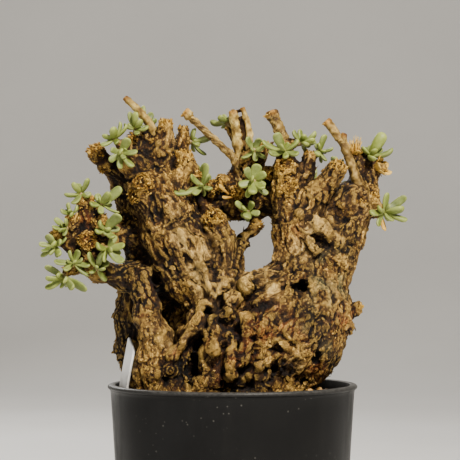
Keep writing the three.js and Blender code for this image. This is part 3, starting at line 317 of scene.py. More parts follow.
# How each of them looks: depth of its grooves, unevenness, depth of the cup at its end, and paleness
TWIG_LOOKS = [
    (0.06, 0.12, 0.5, 0.75), (0.34, 0.24, 0, 0.4), (0.12, 0.3, 0.5, 0.6), (0.12, 0.15, 0.6, 1.0),
    (0.08, 0.2, 0.4, 0.85), (0.24, 0.1, 0, 0.45), (0.28, 0.12, 0.9, 0.35), (0.07, 0.15, 0, 0.25),
    (0.05, 0.2, 0.3, 0.35), (0.07, 0.15, 0.5, 0.25), (0.1, 0.2, 0, 0.4),
]
# Leafy shoots: where the leaves spring from, and each leaf as (dx, dy, dz, width) to its tip
SHOOTS = {
    "left_top": ((-53.8, -9, 148.2), [
        (2.6, -2.5, 5.4, 2.8), (-1.8, 3.5, 3.6, 2.8), (-6, -1.5, -0.2, 2.8), (-2.8, -4, -3.6, 3),
        (3.4, -4.2, -0.4, 2.8)]),
    "left_upper": ((-46.4, -10.5, 144.4), [
        (7, -1, 6, 4), (3, -4.5, 4.2, 3.2), (-1.8, 1.5, 3.8, 3.2), (-4, -3, 0.4, 2.8),
        (6.4, -2.5, -3, 2.4)]),
    "left_inner": ((-44.8, -13.5, 135.3), [
        (5.2, -3, 5.2, 4.2), (-1.8, -3.5, 3, 3), (-3.4, -3, -0.4, 2.8), (3.2, -3.5, -2.6, 3)]),
    "left_front": ((-44.1, -14.5, 128.6), [
        (-3.4, -4.6, 1.6, 3.4), (6.2, -2.2, 1.4, 3.2), (5.8, -2.6, -4.6, 3.6), (4.8, 1, -1.6, 2.6),
        (-1, -3.4, -4.6, 2.8)]),
    "left_hanging": ((-47.9, -12.5, 121.6), [
        (-2.9, -2.8, 5.8, 2.8), (2.4, -3, 6, 2.8), (4.2, 0.5, 2.4, 2.8)]),
    "left_ring": ((-57.2, -11, 141), [
        (-1, -1, 4, 2.6), (2.2, -3, 2.6, 2.6), (-3.6, -2, 1.4, 2.4)]),
    "left_outer": ((-58.8, -11.5, 136), [
        (-4.2, -1, 3.4, 2.4), (-5, -2, 0.6, 2.6), (-2.4, -3.8, -0.8, 2.4)]),
    "left_tip": ((-63, -11, 129.6), [
        (-2.8, -1.5, 4, 3.6), (-0.2, -5, 1, 3), (-5.6, -1.2, 0.8, 2.2), (-4.6, -3, -1.8, 2.2),
        (-5, 0, -3.8, 2.2), (2.4, -4, 1.8, 2.6), (4.2, -1.5, 3, 2.6), (2, -3.6, -3.4, 2.6),
        (-1.6, -3.8, -3, 2.4)]),
    "left_low": ((-56.2, -13, 123.6), [
        (-1.2, -2, 4.4, 2.8), (1.8, -1, 4.6, 2.8), (-6.8, -2, 0.6, 3), (6, -1, -0.8, 2.6),
        (5.6, 0.6, -4.6, 2.6)]),
    "left_lowest": ((-59.6, -12, 118.4), [
        (-6.8, -1.2, 4, 3), (-6.4, -3, 0, 2.6), (-6.8, 0, -3.8, 3), (3.4, -4.4, -4, 3),
        (8.2, -2, -4.6, 3.4), (0.4, -4.6, -1, 2.8)]),
    "crown_left": ((-42, -9, 167.6), [
        (-4.2, -2, 1.4, 3), (-0.4, -4.4, 4, 3.4), (2, 0, 6.2, 2.8), (4.6, -2.6, 5, 2.6),
        (-4.8, -2, -2.2, 3)]),
    "crown_left_low": ((-39.6, -11, 162.6), [
        (-4, -2, -3, 2.6), (0.4, -4, 0.4, 2.8), (2.8, -3.4, 5, 3.6), (6, -2, 0.4, 2.8), (4.6, -1.5, -5, 3)]),
    "crown_top": ((-34.6, -6, 171.4), [
        (0.2, -2, 6, 3), (-2.2, 0.6, 6.2, 2.6), (4.6, -2.2, 0.6, 3.2), (-3.8, -3, 1.6, 2.8),
        (2, -3.6, 3.2, 2.8)]),
    "crown_behind": ((-31, 3, 173), [
        (-1.4, 1, 7.4, 3.4), (1.8, 1.6, 5, 2.8), (3.6, 0.6, 2.4, 2.6)]),
    "fork_left": ((-14.6, 1.5, 167), [
        (7.4, 1.2, 2.6, 4.2), (2.4, -3.4, -1.2, 3), (5.2, 3.4, -4.4, 2.6), (-3, 3.6, 4.4, 2.8)]),
    "fork_low": ((-10.8, -6.5, 151), [
        (1.6, -2, 8, 2.8), (2.4, -3.4, 4.2, 2.8), (-10.2, -3.4, -2.6, 3.4), (-3.2, -3.6, -3, 2.8),
        (3.4, -2.6, -1, 2.6)]),
    "middle_shoot": ((-2, 5.2, 174.4), [
        (-6.2, 0.8, 0.4, 3.8), (1.2, 3.4, 2.6, 2.8)]),
    "middle_right": ((7.8, -2.4, 164), [
        (-2.6, -2, 4.6, 2.8), (2, -2.6, 4, 2.8), (3.4, -2.8, 1, 2.6), (-4.6, -3, -3, 2.8)]),
    "middle_large": ((18.5, -6, 163.4), [
        (-8, -2.6, 3.6, 3.4), (-3.2, -2.4, 6.4, 3.8), (5, -2.6, 4, 3), (-5.6, -4, -0.6, 3.2),
        (0.4, -4.6, -2.4, 2.6), (5, -3.4, -1, 3)]),
    "middle_high": ((25, -1, 166.6), [
        (-3.2, -2, 4.4, 3.2), (-0.6, 1.6, 5, 2.8), (4.8, -2, 4, 4), (1.6, -4.6, -0.4, 3),
        (4.2, -4, 1.4, 3.2), (5, 3, 0.6, 3)]),
    "right_high": ((31.6, 0.5, 163.6), [
        (1.8, -1.5, 6, 3.2), (4.6, -2, 1.2, 2.6), (-1.4, -4, -1.2, 3.2), (2, -3.6, -3.4, 2.4),
        (-1, 4, 3, 2.8)]),
    "right_small": ((37, 2, 158.4), [
        (0.2, -2.6, 3.2, 3), (3, 0.4, 2.4, 2.6)]),
    "heart_upper": ((7.6, -6, 152.8), [
        (-2.8, -2, 4.6, 3.4), (1.4, -1.6, 6, 4.2), (4.2, -2.4, 2.8, 3.2), (-5.4, -2, -1.6, 3.4),
        (-0.6, -4.4, -4.6, 3.8), (3.6, -4, -2.6, 3), (-2.6, -1.4, -6, 2.4), (5, -1, -4.8, 2.6)]),
    "heart_lower": ((5.4, -4, 142), [
        (-4.4, -1.5, 3.4, 2.6), (-0.2, -4.6, -2.4, 3.6), (1.6, -3.2, 3.4, 2.8), (4.4, -1.6, -0.8, 2.6)]),
    "right_pair": ((50, 7, 162.4), [
        (5, -1.2, 8.2, 4.8), (8.2, -2, 2.4, 4.2), (-3, -2, 3.2, 3), (-1, 5, 3, 3)]),
    "right_side": ((54.6, -0.5, 142), [
        (1.2, -0.5, 6.8, 3), (8, 1, 5.4, 3.2), (6.8, -3.2, 1.4, 4), (8.2, -1.2, -3.2, 3.4),
        (-5.4, -4.2, -0.4, 3.2), (-2.2, -4.6, 1.6, 3), (-2.4, -2, -5.4, 2.6)]),
}
# Leafy shoots of the back: place, direction of growth and number of leaves
BACK_SHOOTS = {
    "back_left_high": ((-12, 24.5, 152), (0.1, 0.7, 0.7), 6),
    "back_left_mid": ((-24, 27.5, 144.5), (-0.5, 0.7, 0.4), 5),
    "back_left_low": ((-34.2, 28.2, 111.7), (-0.4, 0.9, 0.1), 5),
    "back_left_top": ((-37, 9.5, 157), (-0.2, 0.8, 0.6), 5),
    "back_right_high": ((30, 24.5, 149.5), (0.3, 0.7, 0.6), 6),
    "back_right_mid": ((17.5, 29, 144), (-0.3, 0.8, 0.5), 5),
    "back_right_low": ((39.5, 23, 130.5), (0.3, 0.9, 0.3), 4),
    "back_right_top": ((46, 13.5, 152), (0.2, 0.9, 0.3), 4),
    "back_bridge": ((2, 13.6, 149.1), (0, 0.8, 0.6), 5),
    "back_cluster": ((-51, -2, 134), (-0.2, 0.9, 0.3), 5),
}
# Finer forms of the bark's surface: thin ribs, cracks and small knobs
FINE_RIBS = [
    [(13.7, -18.5, 91, 1.3), (14.5, -20.5, 99, 1.5), (19, -20, 104, 1.4)],
    [(-22, -17.5, 92, 1.3), (-17, -19.5, 86, 1.2)],
    [(34, -13, 118, 1.4), (40, -9, 108, 1.6), (41, -9, 98, 1.4)],
    [(-12, -16.5, 123, 1.1), (-19, -13, 136, 1.2), (-26, -11, 147, 1.1)],
    [(8.5, -20.5, 96, 1.2), (9.5, -20, 84, 1.4)],
    [(24, -19, 108, 1.2), (30, -18, 100, 1.3), (31, -17, 90, 1.1)],
]
FINE_CUTS = [
    [(15, -25, 99.6, 0.45), (18, -23, 97.2, 0.5), (21, -22, 95, 0.4)],
    [(-4.6, -22, 86, 0.5), (-4.2, -22, 79, 0.5)],
    [(12.2, -24, 92, 0.55), (11.8, -24, 82, 0.5)],
    [(21, -23, 90, 0.5), (22.5, -22, 80, 0.5)],
    [(-24.5, -19.5, 92, 0.5), (-25.5, -19, 81, 0.6)],
    [(35, -16, 112, 0.5), (37, -14.5, 103, 0.5), (36, -15, 94, 0.4)],
    [(-7.5, -20, 113, 0.5), (-13, -17.5, 126, 0.55), (-18, -15.5, 138, 0.45)],
    [(26.5, -16, 129, 0.5), (27, -13, 139, 0.5), (25, -11, 146, 0.4)],
]
FINE_KNOBS = [
    (-8.5, -19.5, 99, 1.7), (2.2, -20, 106, 1.6), (7.2, -19.5, 107, 1.9), (8, -21, 100.5, 1.8),
    (-3.4, -20.5, 83.5, 1.8), (12.6, -20.5, 88, 1.6), (19, -20, 86, 2), (24, -20, 96, 2.2),
    (33, -14.5, 107, 2), (-16, -18.5, 88, 1.8), (-27, -17, 84, 2.2), (-24, -15.5, 109, 1.6),
    (44.6, -1, 111, 1.7), (43.4, -4, 99.5, 1.5), (20.5, -12.5, 121, 1.8), (12.5, -14, 121, 1.6),
    (-33, -12, 113, 1.8), (-18, -12.5, 128, 2), (-27, -10.5, 139, 2.1), (38, -9, 125, 2),
]
# Scars of shed stalks, crumbled and cup-shaped
SCARS = [knob for knob in KNOBS if knob[2] > 129 and knob[3] > 1.9]
# Rings of scars seen from the front: x, z, radius, pitch of the ridges, their height
RINGS = [
    (-21.8, 86, 3.6, 1.25, 0.32), (4.5, 115.5, 2.6, 1.7, 0.34), (20, 149.8, 2.8, 1.5, 0.34),
    (-4, 117.3, 2.4, 1.6, 0.26), (0.2, 111, 2.2, 1.5, 0.26), (17.8, 115.8, 3.4, 1.9, 0.22),
]
# Tints seen from the front: x, z and radius
WARM_SPOTS = [
    (12, 108, 5), (16, 103, 6), (8, 99, 5), (-3.4, 83, 3.5), (2, 92, 4), (24, 96, 5), (-8, 92, 4),
    (-20, 93, 3), (40, 104, 4), (6, 87, 4), (30, 86, 4), (-28, 115, 4), (-31, 106, 4), (-52, 142, 4),
    (-46, 137, 4), (-51, 131, 3), (22, 134, 3),
]
PALE_SPOTS = [
    (-0.5, 130, 2.6), (-3, 124, 2.5), (-8, 115, 4.5), (-5, 110, 3.5), (3, 117, 4), (-13.5, 123, 3),
    (12, 119, 3.5), (24, 128, 4), (32, 140, 3), (28, 136, 3), (-21, 141, 3), (14, 114, 3), (-17, 131, 3),
    (-10, 118, 3.5), (22, 88, 3), (-22, 95, 2.5), (-7.7, 132, 2.6), (-8, 127.5, 3),
    (-12.4, 128, 2.6), (-18.9, 134.5, 2.8), (-6.3, 114.4, 3), (35.5, 136, 2.6), (38, 132.5, 2.4),
]
# Painted shade seen from the front, where the bark's tone is darkened: x, z and radius
PAINTED_SHADE_SPOTS = [
    (-25, 124, 8), (-30, 116, 5), (-41, 99, 6), (-5, 151, 5), (21.5, 125, 3.5), (6, 83, 6), (36, 88, 6),
    (-14, 148, 4), (-42, 122, 6), (40, 133, 4), (14, 142, 4), (-36, 145, 5), (-22, 82, 5), (30, 96, 4),
    (-31, 160, 6), (-22, 162, 4), (-42, 110, 6), (-43, 96, 6), (-41, 84, 5),
]
GOLDEN_SPOTS = [
    (-29, 151, 4), (-33, 147.5, 3), (49, 145, 5), (18, 152, 6), (-18, 158, 6), (55, 135, 3), (40, 141, 5),
]
LICHEN_SPOTS = [
    (34, 127, 4.5), (32, 119, 5), (37, 113, 5), (30, 110, 4), (38, 121, 4), (26, 101, 3.5), (33, 94, 3),
]
# Dry fibres: x, y, z, heading, how many and how long
FIBRE_TUFTS = [
    (44.6, 7.6, 162.8, (-0.06, -0.1, 1), 46, 6.6), (37, -9, 158.3, (0, -0.2, 1), 14, 2.4),
    (12.5, 2, 166, (0.2, 0, 1), 10, 2),
]
# Papery bracts: the middle of the foot, the way they open, length, width at the mouth, how many leaves
BRACTS = [
    ((51.3, 7.2, 157.6), (0.85, -0.35, 0.35), 5.2, 3.7, 6), ((45.2, 8, 161.6), (0, -0.1, 1), 3.2, 2.7, 5),
    ((13.9, 0.8, 175.6), (-0.3, 0.1, 0.9), 1.9, 2.6, 7), ((34.3, 0, 173.4), (-0.4, 0, 0.9), 1.1, 1.7, 6),
    ((-16.6, -2, 176.6), (-0.7, 0, 0.7), 1.4, 1.9, 5),
]
# Dry leaves that hang or cling: foot, tip and width
DRY_LEAVES = [
    ((53.4, 0, 141), (54.8, -2.6, 135), 1.9), ((53, 0.6, 141.4), (52.6, -1.8, 136.6), 1.5),
    ((44, -4.6, 106), (46.8, -6.4, 108.4), 1.5), ((-1.8, -1.4, 148.6), (-4.8, -4.4, 151.6), 1.5),
    ((-0.4, -2, 147), (-3.6, -5.4, 147), 1.3), ((18, -7.4, 147), (20.4, -9.6, 144.2), 1.6),
]


# Repeatable draws and noise

def make_draws(seed):
    """A generator of repeatable draws between 0 and 1."""
    state = seed

    def draw():
        nonlocal state
        state = (state * 16807) % 2147483647
        return state / 2147483647
    return draw


def between(draw, low_high):
    low, high = low_high
    return low + (high - low) * draw()


def cell_draw(i, j, k, salt):
    """A draw between 0 and 1 for each whole-number cell."""
    mixed = (i * 73856093) ^ (j * 19349663) ^ (k * 83492791) ^ (salt * 6542989)
    mixed = (mixed & 0xFFFFFFFF).astype(np.uint32)
    mixed ^= mixed >> np.uint32(15)
    mixed *= np.uint32(2246822519)
    mixed ^= mixed >> np.uint32(13)
    mixed *= np.uint32(3266489917)
    mixed ^= mixed >> np.uint32(16)
    return mixed.astype(np.float64) / 4294967295


def soft_noise(points, salt=0):
    """Smooth noise between -1 and 1."""
    base = np.floor(points)
    part = points - base
    part = part * part * (3 - 2 * part)
    i, j, k = base.astype(np.int64).T
    total = np.zeros(len(points))
    for di in (0, 1):
        for dj in (0, 1):
            for dk in (0, 1):
                share = np.ones(len(points))
                for axis, step in enumerate((di, dj, dk)):
                    share *= part[:, axis] if step else 1 - part[:, axis]
                total += share * cell_draw(i + di, j + dj, k + dk, salt)
    return 2 * total - 1


def layered_noise(points, salt=0, layers=3):
    total = np.zeros(len(points))
    for layer in range(layers):
        total += soft_noise(points * 2.03 ** layer + 17.3 * layer, salt + layer) * 0.55 ** layer
    return total


def plates(points, salt=0):
    """Scattered plates: gap to the nearest border, each plate's draw, and the tilt within it."""
    base = np.floor(points)
    i, j, k = base.astype(np.int64).T
    nearest = np.full(len(points), 9.0)
    second = np.full(len(points), 9.0)
    draw = np.zeros(len(points))
    tilt = np.zeros(len(points))
    for di in (-1, 0, 1):
        for dj in (-1, 0, 1):
            for dk in (-1, 0, 1):
                cell = (i + di, j + dj, k + dk)
                seeds = np.stack([cell_draw(*cell, salt + n) for n in (1, 2, 3)], axis=1)
                away = points - (base + (di, dj, dk) + seeds)
                gap = np.sqrt((away ** 2).sum(axis=1))
                closer = gap < nearest
                second = np.where(closer, nearest, np.minimum(second, gap))
                nearest = np.where(closer, gap, nearest)
                draw = np.where(closer, cell_draw(*cell, salt + 4), draw)
                lean = (seeds * 2 - 1)[:, [1, 2, 0]]
                tilt = np.where(closer, (away * lean).sum(axis=1), tilt)
    return second - nearest, draw, tilt


def ease(low, high, value):
    """0 below low, 1 above high, smooth between."""
    share = np.clip((value - low) / (high - low), 0, 1)
    return share * share * (3 - 2 * share)


# Meshes from arrays

def linked(name, data):
    """A new object in the scene that shows this mesh, light or camera."""
    thing = bpy.data.objects.new(name, data)
    bpy.context.scene.collection.objects.link(thing)
    return thing


def mesh_object(name, points, faces, smooth=True, masks=None):
    """An object from points in millimetres and faces that all have the same number of corners."""
    points = np.asarray(points, dtype=np.float64) * MM
    faces = np.asarray(faces, dtype=np.int32)
    mesh = bpy.data.meshes.new(name)
    mesh.vertices.add(len(points))
    mesh.vertices.foreach_set("co", points.ravel())
    mesh.loops.add(faces.size)
    mesh.loops.foreach_set("vertex_index", faces.ravel())
    mesh.polygons.add(len(faces))
    mesh.polygons.foreach_set("loop_start", np.arange(0, faces.size, faces.shape[1], dtype=np.int32))
    mesh.update(calc_edges=True)
    mesh.polygons.foreach_set("use_smooth", np.full(len(faces), smooth, dtype=bool))
    for mask, values in (masks or {}).items():
        add_mask(mesh, mask, values)
    return linked(name, mesh)


def object_of(form, name):
    """An object from a bmesh, which is used up."""
    mesh = bpy.data.meshes.new(name)
    form.to_mesh(mesh)
    form.free()
    return linked(name, mesh)


def add_mask(mesh, mask, values):
    """A value or a vector for each point, for the finishes to read."""
    values = np.asarray(values, dtype=np.float32)
    if values.ndim == 2:
        mesh.attributes.new(mask, "FLOAT_VECTOR", "POINT").data.foreach_set("vector", values.ravel())
    else:
        mesh.attributes.new(mask, "FLOAT", "POINT").data.foreach_set("value", values)


def dress(thing, material, node):
    """Gives a piece its material, lets it ride on the body, and hides the solid that it stands in for."""
    thing.data.materials.append(material)
    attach(thing, BODY)
    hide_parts(node)


def add_piece(name, arrays, material, node, smooth=True):
    """A piece from its points, faces and masks, kept within the solids' box."""
    points, faces, masks = arrays
    dress(mesh_object(name, inside_box(points), faces, smooth, masks), material, node)


def inside_box(points):
    """Points kept within the box of the solids."""
    return np.clip(points, np.array(cad_box[0]) / MM, np.array(cad_box[1]) / MM)


def joined(parts):
    """Many (points, faces, masks) as one."""
    starts = np.cumsum([0] + [len(part[0]) for part in parts[:-1]])
    points = np.concatenate([part[0] for part in parts])
    faces = np.concatenate([part[1] + start for part, start in zip(parts, starts)])
    return points, faces, {mask: np.concatenate([part[2][mask] for part in parts]) for mask in parts[0][2]}


def unit(vectors):
    return vectors / np.maximum(np.linalg.norm(vectors, axis=-1, keepdims=True), 1e-12)


def frames_along(direction):
    """Two unit vectors across each direction."""
    helper = np.where(np.abs(direction[:, 2:3]) < 0.9, [[0, 0, 1.0]], [[1.0, 0, 0]])
    side = unit(np.cross(helper, direction))
    return side, np.cross(direction, side)


def circle(count):
    """The angles of points spaced evenly around a circle."""
    return np.arange(count) / count * 2 * math.pi


def rings_around(sides, ups, angles):
    """Unit vectors at these angles around each centre of a path."""
    return sides[:, None] * np.cos(angles)[None, :, None] + ups[:, None] * np.sin(angles)[None, :, None]


def ring_faces(rings, sides):
    """Triangles between rings of points, closed at both ends by the two points after them."""
    faces = []
    for ring in range(rings - 1):
        for k in range(sides):
            a, b = ring * sides + k, ring * sides + (k + 1) % sides
            faces += [(a, b, b + sides), (a, b + sides, a + sides)]
    first, last = rings * sides, rings * sides + 1
    for k in range(sides):
        after = (k + 1) % sides
        faces.append((first, after, k))
        faces.append((last, (rings - 1) * sides + k, (rings - 1) * sides + after))
    return np.array(faces)


def tube_arrays(path, radii, sides):
    """Points and triangles of a closed round tube along a path."""
    ring = rings_around(*frames_along(unit(np.gradient(path, axis=0))), circle(sides))
    points = (path[:, None] + ring * np.asarray(radii)[:, None, None]).reshape(-1, 3)
    points = np.concatenate([points, path[:1], path[-1:]])
    return points, ring_faces(len(path), sides)


def copies(shape, faces, origins, axes, sizes, jitter, rng):
    """Points and faces of many uneven copies of one small closed shape.

    axes holds three unit vectors for each copy, sizes its three half sizes."""
    count = len(origins)
    local = shape[None] * (1 + jitter * rng.uniform(-1, 1, (count, len(shape), 3)))
    local = local * sizes[:, None]
    points = origins[:, None] + np.einsum("nvk,nkc->nvc", local, axes)
    steps = np.arange(count)[:, None, None] * len(shape)
    return points.reshape(-1, 3), (faces[None] + steps).reshape(-1, faces.shape[1])


def icosahedron():
    gold = (1 + 5 ** 0.5) / 2
    corners = [(-1, gold, 0), (1, gold, 0), (-1, -gold, 0), (1, -gold, 0), (0, -1, gold), (0, 1, gold),
               (0, -1, -gold), (0, 1, -gold), (gold, 0, -1), (gold, 0, 1), (-gold, 0, -1), (-gold, 0, 1)]
    faces = [(0, 11, 5), (0, 5, 1), (0, 1, 7), (0, 7, 10), (0, 10, 11), (1, 5, 9), (5, 11, 4), (11, 10, 2),
             (10, 7, 6), (7, 1, 8), (3, 9, 4), (3, 4, 2), (3, 2, 6), (3, 6, 8), (3, 8, 9), (4, 9, 5),
             (2, 4, 11), (6, 2, 10), (8, 6, 7), (9, 8, 1)]
    return unit(np.array(corners, dtype=float)), np.array(faces)


def wedge():
    """A thin chip along its first axis: full at the root, with a thin ragged far end."""
    outline = [(-1, -0.6), (0.1, -1), (1, -0.35), (0.85, 0.5), (-0.2, 1), (-1, 0.5)]
    rise = [0.2, 0.9, 1.3, 1.2, 0.8, 0.2]
    upper = [(x, y, z) for (x, y), z in zip(outline, rise)]
    lower = [(x * 0.96, y * 0.9, z - 1.0) for (x, y), z in zip(outline, rise)]
    count = len(outline)
    faces = [(0, k, k + 1) for k in range(1, count - 1)]
    faces += [(count, count + k + 1, count + k) for k in range(1, count - 1)]
    for k in range(count):
        after = (k + 1) % count
        faces += [(k, count + k, count + after), (k, count + after, after)]
    return np.array(upper + lower, dtype=float), np.array(faces)


# The caudex as a signed distance in millimetres, negative inside

def segments_of(chains):
    """Start, axis and the two radii of every link of every chain."""
    links = [(a, b) for chain in chains for a, b in zip(chain, chain[1:])]
    starts = np.array([a for a, _ in links], dtype=float)
    ends = np.array([b for _, b in links], dtype=float)
    return starts[:, :3], ends[:, :3] - starts[:, :3], starts[:, 3], ends[:, 3]


def segment_distances(points, segments):
    """One array of distances for each segment in turn."""
    for start, axis, first, last in zip(*segments):
        away = points - start
        along = np.clip(away @ axis / (axis @ axis), 0, 1)
        gap = away - along[:, None] * axis
        yield np.sqrt(np.einsum("nk,nk->n", gap, gap)) - (first + along * (last - first))


def soft_min(a, b, blend):
    overlap = np.maximum(blend - np.abs(a - b), 0) / blend
    return np.minimum(a, b) - overlap * overlap * blend / 4


def nearest_link(at, limbs):
    """The foot of a point on the nearest link of the limbs, the link's axis, and how far along it."""
    nearest = int(np.argmin([gap[0] for gap in segment_distances(at[None], limbs)]))
    start, axis = limbs[0][nearest], limbs[1][nearest]
    along = min(1, max(0, (at - start) @ axis / (axis @ axis)))
    return start + along * axis, axis, along


def bud_stalk(at, limbs):
    """The short stalk from the nearest limb to just short of a leafy shoot."""
    foot, _, _ = nearest_link(at, limbs)
    span = np.linalg.norm(at - foot)
    tip = foot + (at - foot) * max(0, 1 - STALK_SHORT / span)
    return [(*foot, STALK_RADII[0]), (*tip, STALK_RADII[1])]


class Wood:
    """The caudex's form: limbs, ribs, knobs and stalks joined, then the hollows cut out."""

    def __init__(self, shoots):
        self.limbs = segments_of(TRUNK + ARMS)
        stalks = [bud_stalk(shoot["at"], self.limbs) for shoot in shoots.values()]
        self.thin = segments_of(RIBS + FINE_RIBS + stalks)
        twigs = [[(*point, max(0.3, radii[0] + (radii[1] - radii[0]) * step / (len(path) - 1) - TWIG_CORE))
                  for step, point in enumerate(path)] for path, radii in TWIGS]
        self.twigs = segments_of(twigs)
        self.cuts = segments_of(CARVINGS + FINE_CUTS)
        self.scar_aims = [self.outward(np.array(knob[:3], dtype=float)) for knob in SCARS]

    def outward(self, at):
        """The way a scar faces: away from its limb, and along it at the limb's end."""
        foot, axis, along = nearest_link(at, self.limbs)
        return unit(at - foot + (1.6 if along > 0.8 else 0.2) * unit(axis))

    def distance(self, points):
        gap = np.full(len(points), FAR)
        for limb in segment_distances(points, self.limbs):
            gap = soft_min(gap, limb, LIMB_BLEND)
        for rib in segment_distances(points, self.thin):
            gap = soft_min(gap, rib, KNOB_BLEND)
        for x, y, z, radius in KNOBS + FINE_KNOBS:
            gap = soft_min(gap, np.linalg.norm(points - (x, y, z), axis=1) - radius, KNOB_BLEND)
        sway = [layered_noise(points / 3.4 + 11 * axis, 301 + 5 * axis, 2) for axis in range(3)]
        for cut in segment_distances(points + CARVE_SWAY * np.stack(sway, axis=1), self.cuts):
            gap = -soft_min(-gap, cut, CARVE_BLEND)
        return soft_min(gap, self.twig_distance(points), TWIG_BLEND)

    def twig_distance(self, points):
        gap = np.full(len(points), FAR)
        for twig in segment_distances(points, self.twigs):
            gap = np.minimum(gap, twig)
        return gap

    def slope(self, points, here):
        step = 0.05
        rises = [self.distance(points + step * np.eye(3)[axis]) - here for axis in range(3)]
        return np.stack(rises, axis=1) / step

    def growth(self, points):
        """The limb under each point: its direction, and the point in a frame that runs along it."""
        starts, axes, first, last = (np.concatenate(pair) for pair in zip(self.limbs, self.twigs))
        lengths = np.linalg.norm(axes, axis=1)
        offsets = np.concatenate([[0], np.cumsum(lengths)[:-1]])
        best = np.full(len(points), FAR)
        owner = np.zeros(len(points), dtype=int)
        for number, gap in enumerate(segment_distances(points, (starts, axes, first, last))):
            closer = gap < best
            best[closer] = gap[closer]
            owner[closer] = number
        direction = (axes / lengths[:, None])[owner]
        away = points - starts[owner]
        along = np.einsum("nk,nk->n", away, direction)
        across = away - along[:, None] * direction
        return direction, across, along + offsets[owner], ((first + last) / 2)[owner]


# Masks and moves on a surface of points with neighbours

class Surface:
    """Points of a quad mesh with the pairs that are joined, for smoothing and shading masks."""

    def __init__(self, points, quads):
        self.points = points
        self.quads = quads
        pairs = np.concatenate([quads[:, [0, 1]], quads[:, [1, 2]], quads[:, [2, 3]], quads[:, [3, 0]]])
        pairs = np.unique(np.sort(pairs, axis=1), axis=0)
        self.first = np.concatenate([pairs[:, 0], pairs[:, 1]])
        self.second = np.concatenate([pairs[:, 1], pairs[:, 0]])
        self.degree = np.maximum(np.bincount(self.first, minlength=len(points)), 1)

    def mean(self, values):
        """The mean over each point's neighbours."""
        if values.ndim == 1:
            return np.bincount(self.first, values[self.second], len(self.points)) / self.degree
        return np.stack([self.mean(values[:, k]) for k in range(values.shape[1])], axis=1)

    def blurred(self, values, rounds):
        for _ in range(rounds):
            values = 0.5 * values + 0.5 * self.mean(values)
        return values

    def even_out(self, rounds):
        """Smooths out facets without shrinking the form."""
        for _ in range(rounds):
            for pull in (0.5, -0.53):
                self.points = self.points + pull * (self.mean(self.points) - self.points)

    def normals(self):
        p = self.points[self.quads]
        facing = np.cross(p[:, 2] - p[:, 0], p[:, 3] - p[:, 1])
        total = np.zeros_like(self.points)
        for corner in range(4):
            for axis in range(3):
                total[:, axis] += np.bincount(self.quads[:, corner], facing[:, axis], len(self.points))
        return unit(total)

    def hollow(self, rounds):
        """How far each point lies below the surface around it."""
        around = self.blurred(self.points, rounds)
        return np.einsum("nk,nk->n", around - self.points, self.normals())


def quad_arrays(thing):
    """Points in millimetres and quads of an object's evaluated mesh."""
    graph = bpy.context.evaluated_depsgraph_get()
    mesh = bpy.data.meshes.new_from_object(thing.evaluated_get(graph))
    points = np.empty(len(mesh.vertices) * 3)
    mesh.vertices.foreach_get("co", points)
    loops = np.empty(len(mesh.loops), dtype=np.int32)
    mesh.loops.foreach_get("vertex_index", loops)
    bpy.data.meshes.remove(mesh)
    return points.reshape(-1, 3) / MM, loops.reshape(-1, 4)


def settle(thing):
    """Makes the shape that an object's modifiers show its own."""
    graph = bpy.context.evaluated_depsgraph_get()
    mesh = bpy.data.meshes.new_from_object(thing.evaluated_get(graph), preserve_all_data_layers=True,
                                           depsgraph=graph)
    thing.modifiers.clear()
    thing.data = mesh


def thin_out(thing, triangles):
    """Leaves a mesh of quads this many triangles, with fewer of them where it is smooth."""
    thinning = thing.modifiers.new("thinning", "DECIMATE")
    thinning.ratio = min(1, triangles / (2 * len(thing.data.polygons)))
    settle(thing)


def spots(points, places):
    """The sum of soft round spots: each place is x, z and radius as seen from the front."""
    total = np.zeros(len(points))
    for x, z, radius in places:
        away = ((points[:, 0] - x) ** 2 + (points[:, 2] - z) ** 2) / radius ** 2
        total += np.exp(-away)
    return np.clip(total, 0, 1)


def knob_nearness(points, knobs, reach):
    """1 inside a knob, 0 beyond its reach."""
    near = np.zeros(len(points))
    for x, y, z, radius in knobs:
        away = np.linalg.norm(points - (x, y, z), axis=1)
        near = np.maximum(near, 1 - ease(radius, radius + reach, away))
    return near


def sink_scars(lift, points, small_draw, fine_draw, sway, aims):
    """Raises the scars' rims and sinks their middles unevenly. Returns how deep in a cup each point lies."""
    cup = np.zeros(len(points))
    for (x, y, z, radius), aim in zip(SCARS, aims):
        away = points - (x, y, z)
        gap = np.linalg.norm(away, axis=1)
        near = 1 - ease(radius + 0.8, radius + 1.8, gap)
        facing = away @ aim / np.maximum(gap, 0.01) + 0.12 * sway[:, 1] + 0.22 * (small_draw - 0.5)
        sunk = ease(0.72, 0.98, facing) * near
        lift += near * 0.3 * np.exp(-((facing - 0.62) / 0.16) ** 2) - 0.24 * radius * sunk
        cup = np.maximum(cup, sunk * (0.4 + 0.6 * fine_draw))
    return cup


def with_rings(lift, points, normals, sway):
    """The lift with the concentric ridges of the ring scars, seen from the front."""
    for x, z, radius, pitch, height in RINGS:
        away = np.hypot(points[:, 0] - x, points[:, 2] - z)
        share = (1 - ease(0.75 * radius, radius, away)) * ease(0.1, 0.6, -normals[:, 1])
        wave = np.cos(2 * math.pi * away / pitch + 1.6 * sway[:, 0])
        lift = lift * (1 - 0.6 * share) + share * height * wave
    return lift


